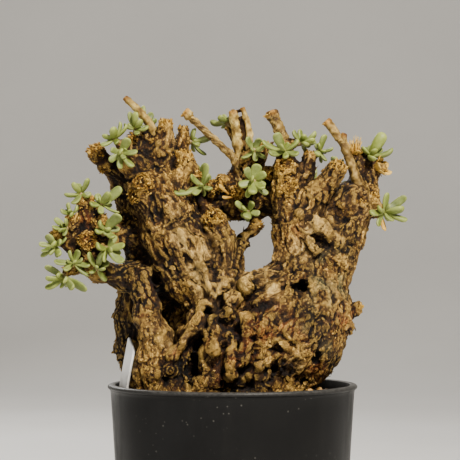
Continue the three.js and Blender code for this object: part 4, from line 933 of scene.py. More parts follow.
def carve_bark(surface, wood):
    """Moves the surface into bark: creases, plates, cracks and scars. Returns its masks."""
    points = surface.points
    normals = surface.normals()
    direction, across, along, radius = wood.growth(points)
    twig = 1 - ease(0.1, 0.9, wood.twig_distance(points))
    scars = knob_nearness(points, SCARS, 0.8) * (1 - twig)
    buried = 1 - ease(SOIL_LEVEL - 3, SOIL_LEVEL, points[:, 2])
    strength = (1 - 0.82 * twig) * (1 - 0.7 * buried) * np.clip(radius / 4, 0.7, 1)
    sway = np.stack([layered_noise(points / 6 + 31 * k, 40 + k, 2) for k in range(3)], axis=1)

    def stretched(size, stretch):
        return (across + direction * (along / stretch)[:, None]) / size + 0.3 * sway

    broad_crease = np.abs(layered_noise(stretched(5.2, 2.4), 71, 2))
    small_crease = np.abs(layered_noise(stretched(2.5, 2), 83, 2))
    small_gap, small_draw, small_tilt = plates(stretched(2, 1.6), 23)
    fine_gap, fine_draw, _ = plates(points / 1.2 + 0.4 * sway, 37)
    flutes = layered_noise(stretched(3.1, 5.5), 51, 2)
    fibres = soft_noise(stretched(1.05, 5), 57)
    lumps = layered_noise(points / 5.2, 61, 2)
    # some stretches are scaly, others worn nearly smooth
    pale = spots(points, PALE_SPOTS)
    worn = np.clip(0.9 * pale + ease(0.12, 0.7, layered_noise(points / 8.5, 151, 2)), 0, 1)
    worn *= (1 - scars) * ease(SOIL_LEVEL + 2, SOIL_LEVEL + 12, points[:, 2])
    scaly = (0.35 + 0.65 * ease(-0.45, 0.5, layered_noise(points / 8, 67, 2))) * (1 - 0.7 * worn)
    lift = RELIEF["broad crease"] * (1 - 0.45 * worn) * (ease(0, 0.26, broad_crease) - 0.8)
    lift += RELIEF["small crease"] * (1 - 0.6 * worn) * (ease(0, 0.3, small_crease) - 0.7)
    lift += scaly * (RELIEF["plate step"] * (small_draw - 0.5) + RELIEF["plate tilt"] * small_tilt
                     - RELIEF["plate seam"] * (1 - ease(0, 0.16, small_gap)))
    lift += scaly * (RELIEF["fine step"] * (fine_draw - 0.5)
                     - RELIEF["fine seam"] * (1 - ease(0, 0.25, fine_gap)))
    lift += RELIEF["flutes"] * flutes + RELIEF["fibres"] * fibres + RELIEF["lumps"] * lumps
    on_knobs = knob_nearness(points, KNOBS + FINE_KNOBS, 1.4)
    lift += RELIEF["knobs"] * on_knobs * layered_noise(points / 2.1, 161, 3)
    # a scar crumbles
    crumbs = 0.6 * (small_draw - 0.5) + 0.6 * (fine_draw - 0.5) - 0.35 * (1 - ease(0, 0.3, fine_gap))
    lift = lift * (1 - 0.7 * scars) + crumbs * scars
    cup = sink_scars(lift, points, small_draw, fine_draw, sway, wood.scar_aims)
    lift = with_rings(lift, points, normals, sway) * strength
    surface.points = points + normals * lift[:, None]
    surface.points = surface.points + 0.1 * (surface.mean(surface.points) - surface.points)
    fine_hollow = surface.hollow(3)
    broad_hollow = surface.hollow(26)
    # painted occlusion shade: darkest where other parts of the wood close in around a point
    ahead = surface.points + OCCLUSION_SHADE_REACH * surface.normals()
    painted_occlusion_shade = ease(0.08, 0.75, 1 - wood.distance(ahead) / OCCLUSION_SHADE_REACH) * (1 - twig)
    tone = 0.36 * small_draw + 0.3 * fine_draw + 0.34 * (0.5 + 0.5 * np.clip(lumps + 0.5 * flutes, -1, 1))
    # the tone is darkened by painted shade in the shade spots and by the painted occlusion shade
    tone += 0.28 * layered_noise(points / 13, 141, 2) - 0.42 * spots(points, PAINTED_SHADE_SPOTS) - 0.4 * painted_occlusion_shade
    tone += 0.26 * pale
    patchy = layered_noise(points / 3.5, 91, 2)
    return {
        # how deep a point lies in creases, hollows and the scars' cups, and how closely the wood closes in;
        # the bark's finish paints shade where this is high and a highlight where it is low
        "hollow": np.clip(0.5 + 1.8 * fine_hollow + 0.26 * np.clip(broad_hollow, -1, 1) + 0.3 * cup
                          + 0.18 * painted_occlusion_shade, 0, 1),
        "worn": worn,
        "tone": tone,
        "warm": spots(points, WARM_SPOTS) * ease(-0.5, 0.4, patchy),
        "pale": pale * ease(-0.9, 0.3, patchy),
        "golden": np.clip(scars + 0.8 * spots(points, GOLDEN_SPOTS), 0, 1),
        "lichen": spots(points, LICHEN_SPOTS) * ease(-0.2, 0.5, patchy),
        "damp": buried,
        "flow": (across + direction * (along / 1.7)[:, None]) * MM + 0.0007 * sway,
    }


def make_bark(wood):
    """The caudex's surface, from its solid, fitted to the finer form and then carved."""
    rough = linked("rough_form", nodes["caudex"].data.copy())
    remesh = rough.modifiers.new("even", "REMESH")
    remesh.mode = "VOXEL"
    remesh.voxel_size = VOXEL * MM
    points, quads = quad_arrays(rough)
    bpy.data.objects.remove(rough)
    surface = Surface(points, quads)
    surface.even_out(SMOOTH_ROUNDS)
    for _ in range(FIT_STEPS):
        gap = wood.distance(surface.points)
        slope = wood.slope(surface.points, gap)
        steep = np.maximum((slope ** 2).sum(axis=1), 0.25)
        move = np.clip(gap, -FIT_REACH, FIT_REACH) / steep
        surface.points = surface.points - move[:, None] * slope
        surface.even_out(2)
    masks = carve_bark(surface, wood)
    surface.points = inside_box(surface.points)
    return surface, masks


def chips(at, aims, sides, sizes, jitter, rng):
    """Wedges along their aims, with their flat sides across."""
    axes = np.stack([aims, sides, np.cross(aims, sides)], axis=1)
    return copies(*wedge(), at, axes, sizes, jitter, rng)


def make_flakes(surface, masks, wood):
    """Chips of bark: each is sunk at its root and stands off at its far end."""
    rng = np.random.default_rng(SEEDS["flakes"])
    points, normals = surface.points, surface.normals()
    chance = (1 - masks["damp"]) * (1 - np.clip(1.4 * masks["golden"], 0, 1))
    chance = chance * (1 - ease(0.2, 0.6, masks["pale"])) + 0.02
    chance *= ease(-0.4, 0.7, layered_noise(points / 7, 131, 2)) ** 1.5
    chance[(wood.twig_distance(points) < 1) | (points[:, 2] < SOIL_LEVEL)] = 0
    picked = rng.choice(len(points), FLAKE_COUNT, p=chance / chance.sum())
    at, up = points[picked], normals[picked]
    flow = wood.growth(at)[0] * rng.choice([-1, 1], FLAKE_COUNT)[:, None]
    flow = flow + rng.normal(0, 0.5, flow.shape)
    flow = unit(flow - (flow * up).sum(axis=1)[:, None] * up)
    lift = (rng.uniform(0, 1, FLAKE_COUNT) ** 3)[:, None] * 0.6
    aims = unit(flow + lift * up)
    length = rng.uniform(*FLAKE_LENGTH, FLAKE_COUNT) * rng.choice([1, 1, 1, 1.5], FLAKE_COUNT)
    width = length * rng.uniform(0.4, 0.8, FLAKE_COUNT)
    sizes = np.stack([length, width, rng.uniform(*FLAKE_THICKNESS, FLAKE_COUNT)], axis=1)
    origins = at + aims * (length * 0.5)[:, None] - up * 0.06
    points, faces = chips(origins, aims, unit(np.cross(up, aims)), sizes, 0.22, rng)
    rises = wedge()[0][:, 2]
    repeat = np.repeat(np.arange(FLAKE_COUNT), len(rises))
    flake_masks = {mask: values[picked][repeat] for mask, values in masks.items()}
    flake_masks["flow"] = points * MM
    flake_masks["tone"] = np.clip(flake_masks["tone"] + rng.normal(0.1, 0.18, FLAKE_COUNT)[repeat], 0, 1)
    # painted light and shade: each flake is lighter on top and darker underneath
    rise = np.tile(np.where(rises > 0, -0.08, 0.2), FLAKE_COUNT)
    flake_masks["hollow"] = np.clip(0.7 * flake_masks["hollow"] + 0.13 + rise, 0, 1)
    return points, faces, flake_masks


def outside_wood(knob, heading, wood, rng):
    """Points over a scar knob in these directions, and the directions, where they are clear of the wood."""
    places = np.array(knob[:3]) + heading * (knob[3] + rng.uniform(-0.3, 0.2, len(heading)))[:, None]
    clear = wood.distance(places) > -0.45
    return places[clear], heading[clear]


def make_crumbs(wood):
    """Crumbs over the scars where stalks have dropped off, and the frayed chips of their rims."""
    rng = np.random.default_rng(SEEDS["crumbs"])
    crumbs, frays = [], []
    for knob, aim in zip(SCARS, wood.scar_aims):
        heading = unit(rng.normal(size=(int(15 * knob[3] ** 1.6), 3)) + 0.5 * aim)
        crumbs.append(outside_wood(knob, heading, wood, rng))
        heading = unit(rng.normal(size=(int(16 * knob[3] ** 1.2), 3)) + 0.5 * aim)
        rising = rng.uniform(0.35, 1.3, len(heading))[:, None] * aim
        roots, outward = outside_wood(knob, unit(unit(np.cross(heading, aim)) + rising), wood, rng)
        frays.append((roots, outward, np.broadcast_to(aim, roots.shape)))
    origins, headings = (np.concatenate(column) for column in zip(*crumbs))
    roots, outward, aims = (np.concatenate(column) for column in zip(*frays))
    count = len(origins)
    turn = unit(headings + rng.normal(0, 0.45, headings.shape))
    shape, faces = icosahedron()
    sizes = rng.uniform(*CRUMB_SIZE, count)[:, None] * rng.uniform(0.6, 1.35, (count, 3)) * (0.6, 1, 1)
    axes = np.stack([turn, *frames_along(turn)], axis=1)
    points, faces = copies(shape, faces, origins, axes, sizes, 0.32, rng)
    parts = [(points, faces, {"tone": np.repeat(rng.uniform(0.1, 1, count), len(shape))})]
    count = len(roots)
    aims = unit(aims + 0.45 * outward + rng.normal(0, 0.35, outward.shape))
    length = rng.uniform(*SCAR_CHIP_LENGTH, count)
    sizes = np.stack([length, length * rng.uniform(0.35, 0.7, count), rng.uniform(0.09, 0.16, count)], axis=1)
    origins = roots + aims * (0.55 * length)[:, None] - outward * 0.1
    points, faces = chips(origins, aims, unit(np.cross(aims, outward)), sizes, 0.25, rng)
    reach = wedge()[0][:, 0]
    tones = np.repeat(rng.uniform(0.25, 1, count), len(reach)) + 0.15 * np.tile(reach, count)
    parts.append((points, faces, {"tone": np.clip(tones, 0, 1)}))
    return joined(parts)


def sheet_arrays(grid, thickness, rng):
    """A closed thin sheet on a grid of points, its thickness fading towards the far end."""
    rows, columns = grid.shape[:2]
    facing = unit(np.cross(np.gradient(grid, axis=0), np.gradient(grid, axis=1))) * thickness / 2
    facing = facing * np.linspace(1, 0.5, rows)[:, None, None]
    points = np.concatenate([(grid + facing).reshape(-1, 3), (grid - facing).reshape(-1, 3)])
    count = rows * columns
    index = np.arange(count).reshape(rows, columns)
    faces = []
    for a, b in zip(index[:-1, :-1].ravel(), index[1:, :-1].ravel()):
        faces += [(a, b, b + 1), (a, b + 1, a + 1)]
        faces += [(count + a, count + b + 1, count + b), (count + a, count + a + 1, count + b + 1)]
    border = [*index[0], *index[1:, -1], *index[-1, -2::-1], *index[-2:0:-1, 0]]
    for a, b in zip(border, border[1:] + border[:1]):
        faces += [(a, b, count + b), (a, count + b, count + a)]
    share = np.repeat(np.linspace(0, 1, rows), columns)
    masks = {"along": np.tile(share, 2), "draw": np.full(2 * count, rng.uniform())}
    return points, np.array(faces), masks


def make_fibres():
    """Dry flat fibres at the ends of the stubs."""
    rng = np.random.default_rng(SEEDS["fibres"])
    shares = np.linspace(0, 1, 6)
    parts = []
    for x, y, z, heading, count, reach in FIBRE_TUFTS:
        for _ in range(count):
            aim = unit(np.array(heading) + rng.normal(0, 0.26, 3))
            bend = rng.normal(0, 0.6, 3)
            start = np.array((x, y, z)) + rng.normal(0, 0.9, 3) * (1, 1, 0.3)
            run = shares * reach * rng.uniform(0.5, 1)
            centres = start + aim * run[:, None] + bend * (shares ** 2)[:, None]
            side = unit(np.cross(aim, rng.normal(size=3)))
            half = rng.uniform(0.22, 0.46) * (1 - 0.85 * shares ** 1.5)
            rows = np.array([-1, 0, 1])[None, :, None] * side * half[:, None, None]
            parts.append(sheet_arrays(centres[:, None] + rows, FIBRE_THICKNESS, rng))
    return joined(parts)


def bract_grids(rng):
    """Each leaf of the papery bracts, which open like ragged cups."""
    shares, spread = np.linspace(0, 1, 8)[:, None], np.linspace(-1, 1, 6)[None, :]
    for foot, aim, length, mouth, count in BRACTS:
        aim = unit(np.array(aim))
        side, up = (vector[0] for vector in frames_along(aim[None]))
        for turn in range(count):
            middle = 2 * math.pi * (turn + rng.uniform(-0.25, 0.25)) / count
            reach = length * rng.uniform(0.7, 1.05)
            angle = (middle + spread * (1.25 * math.pi / count) * (1 - 0.45 * shares ** 2))[..., None]
            flare = rng.uniform(0.7, 1.25)
            girth = mouth * (0.3 + 0.7 * flare * shares ** 1.4) + 0.25 * (turn % 2)
            girth = (girth + rng.normal(0, 0.09, (8, 6)) * (0.3 + shares))[..., None]
            run = reach * shares * (1 - 0.16 * spread ** 2) + rng.normal(0, 0.12, (8, 6)) * shares
            yield np.array(foot) + run[..., None] * aim + girth * (np.cos(angle) * side + np.sin(angle) * up)


def dry_leaf_grids(rng):
    """Each dry leaf: folded a little along its middle and bowed."""
    shares, spread = np.linspace(-0.15, 1, 9)[:, None], np.linspace(-1, 1, 5)[None, :]
    for foot, tip, width in DRY_LEAVES:
        foot, tip = np.array(foot), np.array(tip)
        aim = unit(tip - foot)
        side = unit(np.cross(aim, (0.3, -1, 0.2)))
        half = width / 2 * (0.45 + 0.9 * np.clip(shares, 0, 1)) * np.sqrt(np.clip(1.02 - shares ** 4, 0, 1))
        curl = 0.5 * half * spread ** 2 + 0.9 * shares * (1 - shares) + rng.normal(0, 0.06, (9, 5))
        yield (foot + (shares * np.linalg.norm(tip - foot))[..., None] * aim
               + (half * spread)[..., None] * side + curl[..., None] * np.cross(aim, side))


def make_papery():
    """The papery bracts and the dry leaves."""
    rng = np.random.default_rng(SEEDS["bracts"])
    parts = [sheet_arrays(grid, PAPER_THICKNESS, rng) for grid in bract_grids(rng)]
    parts += [sheet_arrays(grid, PAPER_THICKNESS, rng) for grid in dry_leaf_grids(rng)]
    return joined(parts)


def rounded_path(corners, step):
    """Evenly spaced points on a smooth curve through the corners."""
    corners = np.asarray(corners, dtype=float)
    padded = np.concatenate([[2 * corners[0] - corners[1]], corners, [2 * corners[-1] - corners[-2]]])
    parts = []
    for a, b, c, d in zip(padded, padded[1:], padded[2:], padded[3:]):
        count = max(2, int(np.linalg.norm(c - b) / step))
        t = (np.arange(count) / count)[:, None]
        parts.append(0.5 * (2 * b + (c - a) * t + (2 * a - 5 * b + 4 * c - d) * t ** 2
                            + (3 * b - a - 3 * c + d) * t ** 3))
    return np.concatenate(parts + [corners[-1:]])


def carried_frames(path):
    """Tangents of a path and two directions across each, carried along without twist."""
    tangents = unit(np.gradient(path, axis=0))
    sides = [frames_along(tangents[:1])[0][0]]
    for tangent in tangents[1:]:
        sides.append(unit(sides[-1] - (sides[-1] @ tangent) * tangent))
    sides = np.array(sides)
    return tangents, sides, np.cross(tangents, sides)


def twig_arrays(path, radii, look, number):
    """A dry twig: swollen at its nodes, grooved, and with a sunken ragged end."""
    grooves, gnarl, cup, paleness = look
    first, last = radii
    centres = rounded_path(path, TWIG_STEP)
    frames = carried_frames(centres)
    along = np.concatenate([[0], np.cumsum(np.linalg.norm(np.diff(centres, axis=0), axis=1))])
    # rings that fold over the end and down into its cup: rise and girth as shares of the end's radius
    folds = [(0.22, 0.95), (0.4, 0.8), (0.44 - 0.3 * cup, 0.62), (0.4 - 1.1 * cup, 0.4),
             (0.38 - 1.3 * cup, 0.2)]
    rises, girths = last * np.array(folds).T
    girth = np.concatenate([first + (last - first) * (along / along[-1]), girths])
    lift = np.concatenate([np.zeros(len(along)), rises])
    ends = [-1] * len(folds)
    length, centres, tangents, sides, ups = (
        np.concatenate([rows, rows[ends]]) for rows in (along, centres, *frames))
    centres = centres + tangents * lift[:, None]
    angles = circle(TWIG_ROUND)
    ring = rings_around(sides, ups, angles)
    node = np.exp(-((length / 3.4 + 0.37 * number) % 1 - 0.5) ** 2 / 0.012)
    shape = (centres[:, None] + ring * girth[:, None, None]).reshape(-1, 3)
    bumps = layered_noise(shape / 1.5, 401 + number, 2).reshape(len(length), -1)
    wound = angles[None, :] + (0.3 * length)[:, None]
    flat = np.stack([np.cos(wound) * girth.mean() / 0.75, np.sin(wound) * girth.mean() / 0.75,
                     np.broadcast_to((length / 5)[:, None], wound.shape)], axis=2).reshape(-1, 3)
    groove = ease(0.02, 0.42, np.abs(layered_noise(flat, 431 + number, 2))).reshape(len(length), -1)
    grown = girth[:, None] * (1 + gnarl * (bumps - 0.2) + 0.1 * node[:, None]) - grooves * (1 - groove)
    points = (centres[:, None] + ring * grown[:, :, None]).reshape(-1, 3)
    points = np.concatenate([points, centres[:1], centres[-1:]])
    masks = {
        "tone": np.append(np.clip(0.5 + 0.45 * bumps, 0, 1).ravel(), [0.5, 0.1]),
        # painted shade, darkest in the grooves and at the bottom of the end's cup
        "hollow": np.append((1 - groove).ravel() * min(1, 4.5 * grooves), [0, 1]),
        "end": np.append(np.repeat(ease(-1.6, 0, length - along[-1]), TWIG_ROUND), [0, 1]),
        "pale": np.full(len(points), paleness),
    }
    return points, ring_faces(len(length), TWIG_ROUND), masks


# Leaves

def grown_leaves(grows, count, draw):
    """Leaves of the back stand in a rough spiral around the direction that the shoot grows in."""
    forward = Vector(grows).normalized()
    side = Vector((0, 0, 1)).cross(forward).normalized()
    up = forward.cross(side)
    leaves = []
    for turn in range(count):
        angle = turn * BACK_LEAF_TURN + between(draw, BACK_TURN_SLACK)
        spread = between(draw, BACK_SPREAD) * (1 - BACK_CLOSING * (turn / count))
        length = between(draw, BACK_LEAF_LENGTH)
        tip = (forward * math.cos(spread) + side * (math.sin(spread) * math.cos(angle))
               + up * (math.sin(spread) * math.sin(angle))) * length
        leaves.append((*tip, between(draw, BACK_LEAF_WIDTH)))
    return leaves


def leaf_arrays(at, leaf, facing, rng):
    """A plump leaf: narrow at its root, widest past its middle, round at its tip, a little hollow above."""
    reach, width = np.array(leaf[:3], dtype=float), leaf[3]
    length = np.linalg.norm(reach)
    forward = reach / length
    side = unit(np.cross(facing + rng.normal(0, 0.22, 3), forward))
    up = np.cross(forward, side)
    widest = rng.uniform(0.56, 0.72)
    half = width / 2 * LEAF_FULLNESS
    thick = rng.uniform(0.6, 0.82)
    curl = rng.uniform(0.02, 0.1) * length
    twist = rng.uniform(-0.35, 0.35)
    hollow = rng.uniform(0.0, 0.3)
    angles = circle(LEAF_ROUND)
    cosines, sines = np.cos(angles), np.sin(angles)
    points = []
    for along in LEAF_STATIONS:
        if along < widest:
            girth = 0.44 + 0.56 * math.sin(0.5 * math.pi * along / widest) ** 0.8
        else:
            girth = math.sqrt(max(0, 1 - ((along - widest) / (1 - widest)) ** 2.7))
        centre = at + forward * (0.5 + along * (length - 0.5)) - up * (4 * curl * along * (1 - along))
        across = half * girth * cosines
        rise = half * girth * thick * np.where(sines > 0, 0.72 * sines, sines)
        dent = hollow * half * girth * ease(0.15, 0.45, along) * (1 - ease(0.8, 1, along))
        rise = rise - np.where(sines > 0, dent * np.exp(-(cosines / 0.5) ** 2), 0)
        cosine, sine = math.cos(twist * along), math.sin(twist * along)
        points.append(centre + (across * cosine - rise * sine)[:, None] * side
                      + (across * sine + rise * cosine)[:, None] * up)
    points = np.concatenate(points + [[at + forward * 0.5, at + reach]])
    rings = len(LEAF_STATIONS)
    masks = {
        "along": np.append(np.repeat(LEAF_STATIONS, LEAF_ROUND), [0, 1]),
        # the finish paints a highlight along the edges and shade in the hollow middle of the upper face
        "edge": np.append(np.tile(np.abs(cosines), rings), [0, 0]),
        "upper": np.append(np.tile(0.5 + 0.5 * sines, rings), [0.5, 0.5]),
        "draw": np.full(len(points), rng.uniform()),
        "stem": np.zeros(len(points)),
    }
    return points, ring_faces(rings, LEAF_ROUND), masks


def filler_leaves(shoot, shoots, wood, rng):
    """Smaller leaves in the free room of a shoot, clear of the wood and of the leaves around it."""
    at = shoot["at"]
    reaches = np.array([leaf[:3] for leaf in shoot["leaves"]], dtype=float)
    usual_length = np.linalg.norm(reaches, axis=1).mean()
    width = np.mean([leaf[3] for leaf in shoot["leaves"]])
    outward = unit(unit(reaches).sum(axis=0) + 0.01)
    taken = np.array([other["at"] + np.array(leaf[:3]) * part
                      for other in shoots.values() if np.linalg.norm(other["at"] - at) < 20
                      for leaf in other["leaves"] for part in (0.55, 0.8, 1)])
    found = []
    for size in FILLER_SIZES:
        aims = unit(outward * 0.9 + rng.normal(0, 0.75, (FILLER_TRIES, 3)))
        tries = aims * (usual_length * size * rng.uniform(0.9, 1.1, FILLER_TRIES))[:, None]
        ends = (at + np.array([0.6, 1.0])[:, None, None] * tries).reshape(-1, 3)
        room = np.linalg.norm(ends[:, None] - taken, axis=2).min(axis=1)
        room = np.where(wood.distance(ends) > 0.4 * width, room, 0).reshape(2, -1).min(axis=0)
        best = int(np.argmax(room))
        if room[best] > 0.3 * width + 0.45:
            found.append((*tries[best], width * (0.36 + 0.6 * size)))
            taken = np.concatenate([taken, at + np.array([0.55, 0.8, 1])[:, None] * tries[best]])
    return found


def shoot_arrays(shoot, shoots, wood, rng):
    """One leafy shoot: its leaves and the short stem that they spring from."""
    at = shoot["at"]
    foot, _ = bud_stalk(at, wood.limbs)
    inward = unit(np.array(foot[:3]) - at)
    path = at + inward * np.array(STEM_STATIONS)[:, None]
    stem, stem_faces = tube_arrays(path, STEM_RADII, 10)
    stem_masks = {"along": 0, "edge": 0, "upper": 0.5, "draw": rng.uniform(), "stem": 1}
    parts = [(stem, stem_faces, {mask: np.full(len(stem), value) for mask, value in stem_masks.items()})]
    leaves = shoot["leaves"] + filler_leaves(shoot, shoots, wood, rng)
    middle = unit(np.array([leaf[:3] for leaf in leaves])).mean(axis=0)
    facing = unit(0.6 * unit(middle) + middle + (0, 0, 0.7))
    return joined(parts + [leaf_arrays(at, leaf, facing, rng) for leaf in leaves])


# Shader helpers

def put(tree, kind, values=None, **settings):
    """A node with its settings made and its sockets set or joined."""
    node = tree.nodes.new(kind)
    for setting, value in settings.items():
        setattr(node, setting, value)
    for socket, value in (values or {}).items():
        if isinstance(value, bpy.types.NodeSocket):
            tree.links.new(value, node.inputs[socket])
        else:
            node.inputs[socket].default_value = value
    return node


def mask(tree, name):
    """The value that a piece's mesh holds under this name."""
    return put(tree, "ShaderNodeAttribute", attribute_name=name).outputs["Fac"]


def calc(tree, operation, a, b=0.0):
    return put(tree, "ShaderNodeMath", {0: a, 1: b}, operation=operation).outputs[0]


def weighed(tree, *terms):
    """The sum of values, each given with its weight."""
    total, *others = [calc(tree, "MULTIPLY", value, weight) for value, weight in terms]
    for other in others:
        total = calc(tree, "ADD", total, other)
    return total


def blend(tree, share, a, b, kind="MIX"):
    """Colour a changed towards colour b."""
    node = put(tree, "ShaderNodeMix", {0: share}, data_type="RGBA", blend_type=kind, clamp_result=True)
    for socket, value in ((6, a), (7, b)):
        if isinstance(value, bpy.types.NodeSocket):
            tree.links.new(value, node.inputs[socket])
        else:
            node.inputs[socket].default_value = (*value, 1)
    return node.outputs[2]


def ramp(tree, value, stops):
    node = put(tree, "ShaderNodeValToRGB", {"Fac": value})
    marks = node.color_ramp.elements
    while len(marks) < len(stops):
        marks.new(1)
    for mark, (place, colour) in zip(marks, stops):
        mark.position = place
        mark.color = (*colour, 1)
    return node.outputs["Color"]


def stretch_range(tree, value, low, high, new_low=0.0, new_high=1.0):
    node = put(tree, "ShaderNodeMapRange", {"Value": value, "From Min": low, "From Max": high,
                                            "To Min": new_low, "To Max": new_high})
    return node.outputs["Result"]


def cloudy(tree, place, scale, detail, roughness, distortion=0.0):
    """A cloudy value between 0 and 1."""
    return put(tree, "ShaderNodeTexNoise", {
        "Vector": place, "Scale": scale, "Detail": detail, "Roughness": roughness, "Distortion": distortion,
    }).outputs["Fac"]


def tinted(tree, colour, name, share, tint):
    """The colour changed towards a tint where the mask of that name is high."""
    return blend(tree, calc(tree, "MULTIPLY", mask(tree, name), share), colour, tint)


def specked(tree, grain, colour, share, tint):
    """The colour with small specks of a tint."""
    return blend(tree, calc(tree, "MULTIPLY", grain["Speck"], share), colour, tint)


def drifting(tree, grain, low, high):
    """A roughness that drifts between two values."""
    return stretch_range(tree, grain["Cloud"], 0.3, 0.7, low, high)


def make_grain_group():
    """Mottling and grain that several finishes share: a cloudy value, a speckled one and a height."""
    group = bpy.data.node_groups.new("mottle_and_grain", "ShaderNodeTree")
    for name, scale in (("Cloud Scale", 300), ("Grain Scale", 2500)):
        group.interface.new_socket(name, in_out="INPUT", socket_type="NodeSocketFloat").default_value = scale
    for name in ("Cloud", "Speck", "Height"):
        group.interface.new_socket(name, in_out="OUTPUT", socket_type="NodeSocketFloat")
    entry = put(group, "NodeGroupInput")
    leave = put(group, "NodeGroupOutput")
    place = put(group, "ShaderNodeTexCoord").outputs["Object"]
    cloud = cloudy(group, place, entry.outputs["Cloud Scale"], 4.0, 0.6)
    grain = cloudy(group, place, entry.outputs["Grain Scale"], 3.0, 0.65)
    cells = put(group, "ShaderNodeTexVoronoi", {"Vector": place, "Scale": entry.outputs["Grain Scale"]})
    speck = stretch_range(group, cells.outputs["Distance"], 0.08, 0.32, 1.0, 0.0)
    height = weighed(group, (grain, 0.7), (cloud, 0.3))
    for name, value in (("Cloud", cloud), ("Speck", speck), ("Height", height)):
        group.links.new(value, leave.inputs[name])
    return group


def grain_of(tree, cloud_scale, grain_scale):
    """The outputs of the shared group at these scales, in waves a metre."""
    scales = {"Cloud Scale": cloud_scale, "Grain Scale": grain_scale}
    return put(tree, "ShaderNodeGroup", scales, node_tree=GRAIN).outputs


def finish(name, build, gloss=0.5, shader_values=None):
    """A material: build returns its colour, roughness and height, and how far the height stands."""
    material = bpy.data.materials.new(name)
    material.use_nodes = True
    tree = material.node_tree
    shader = tree.nodes["Principled BSDF"]
    for socket, value in {"Specular IOR Level": gloss, **(shader_values or {})}.items():
        shader.inputs[socket].default_value = value
    colour, roughness, height, depth = build(tree)
    tree.links.new(colour, shader.inputs["Base Color"])
    tree.links.new(roughness, shader.inputs["Roughness"])
    bump = put(tree, "ShaderNodeBump", {"Height": height, "Distance": depth * MM, "Strength": 1.0})
    tree.links.new(bump.outputs["Normal"], shader.inputs["Normal"])
    return material


# Bark from its darkest to its lightest tone, and the tints that masks lay over it, each with its share
BARK_TONES = [(0.0, (0.009, 0.0035, 0.0007)), (0.25, (0.022, 0.0080, 0.0011)), (0.5, (0.046, 0.0175, 0.0025)),
              (0.75, (0.150, 0.069, 0.0105)), (1.0, (0.60, 0.365, 0.090))]
BARK_TINTS = [
    ("golden", 0.7, [(0.0, (0.024, 0.008, 0.001)), (0.5, (0.17, 0.083, 0.011)), (1.0, (0.60, 0.37, 0.07))]),
    ("warm", 0.85, [(0.0, (0.024, 0.005, 0.001)), (0.5, (0.150, 0.036, 0.006)), (1.0, (0.50, 0.180, 0.04))]),
    ("lichen", 0.65, [(0.0, (0.025, 0.023, 0.008)), (1.0, (0.25, 0.235, 0.10))]),
    ("pale", 0.72, [(0.0, (0.05, 0.025, 0.006)), (0.5, (0.25, 0.155, 0.044)), (1.0, (0.68, 0.52, 0.22))]),
    ("worn", 0.6, [(0.0, (0.025, 0.0105, 0.0025)), (0.5, (0.11, 0.055, 0.0105)), (1.0, (0.53, 0.345, 0.1))]),
]
GREYED_BARK = [(0.0, (0.014, 0.007, 0.004)), (0.5, (0.080, 0.043, 0.021)), (1.0, (0.41, 0.27, 0.12))]


def bark_finish(tree):
    """Cracked and scaly, drawn out along each limb, with tinted and worn stretches."""
    grain = grain_of(tree, 700, 3000)
    flow = put(tree, "ShaderNodeAttribute", attribute_name="flow").outputs["Vector"]
    wrinkle = cloudy(tree, flow, 720.0, 6.0, 0.74, 0.9)
    scales = put(tree, "ShaderNodeTexVoronoi", {"Vector": flow, "Scale": 1000.0}).outputs["Color"]
    scale_draw = put(tree, "ShaderNodeSeparateColor", {"Color": scales}).outputs["Red"]
    seam = put(tree, "ShaderNodeTexVoronoi", {"Vector": flow, "Scale": 1000.0},
               feature="DISTANCE_TO_EDGE").outputs["Distance"]
    tone = weighed(tree, (mask(tree, "tone"), 0.75), (wrinkle, 1.1), (scale_draw, 0.3))
    tone = stretch_range(tree, tone, 0.66, 1.41)
    colour = ramp(tree, tone, BARK_TONES)
    for name, share, stops in BARK_TINTS:
        colour = tinted(tree, colour, name, share, ramp(tree, tone, stops))
    greyed = stretch_range(tree, grain_of(tree, 130, 900)["Cloud"], 0.54, 0.68, 0.0, 0.45)
    colour = blend(tree, greyed, colour, ramp(tree, tone, GREYED_BARK))
    # painted highlight on the ridges, where the hollow mask is low
    painted_ridge_highlight = stretch_range(tree, mask(tree, "hollow"), 0.44, 0.16, 0.0, 0.5)
    colour = blend(tree, painted_ridge_highlight, colour, (0.52, 0.33, 0.075))
    # cracks are darker, and less so where the bark is worn; crevices, deep where the hollow mask is high, are
    # darkened with painted shade
    crease = calc(tree, "ABSOLUTE", calc(tree, "SUBTRACT", wrinkle, 0.5))
    crack = calc(tree, "MAXIMUM", stretch_range(tree, crease, 0.045, 0.0, 0.0, 0.85),
                 stretch_range(tree, seam, 0.11, 0.0, 0.0, 0.7))
    crack = calc(tree, "MULTIPLY", crack, stretch_range(tree, mask(tree, "worn"), 0.0, 1.0, 1.0, 0.4))
    crevice = stretch_range(tree, mask(tree, "hollow"), 0.55, 0.88)
    shade = blend(tree, 1.0, colour, (0.13, 0.10, 0.08), "MULTIPLY")
    colour = blend(tree, calc(tree, "MAXIMUM", crack, crevice), colour, shade)
    colour = specked(tree, grain, colour, 0.25, (0.03, 0.013, 0.005))
    colour = tinted(tree, colour, "damp", 0.8, (0.012, 0.007, 0.004))
    height = weighed(tree, (wrinkle, 1.0), (stretch_range(tree, seam, 0.0, 0.16, 0.0, 0.3), 1.0),
                     (grain["Height"], 0.35), (scale_draw, 0.2))
    return colour, drifting(tree, grain, 0.62, 0.9), height, 0.55


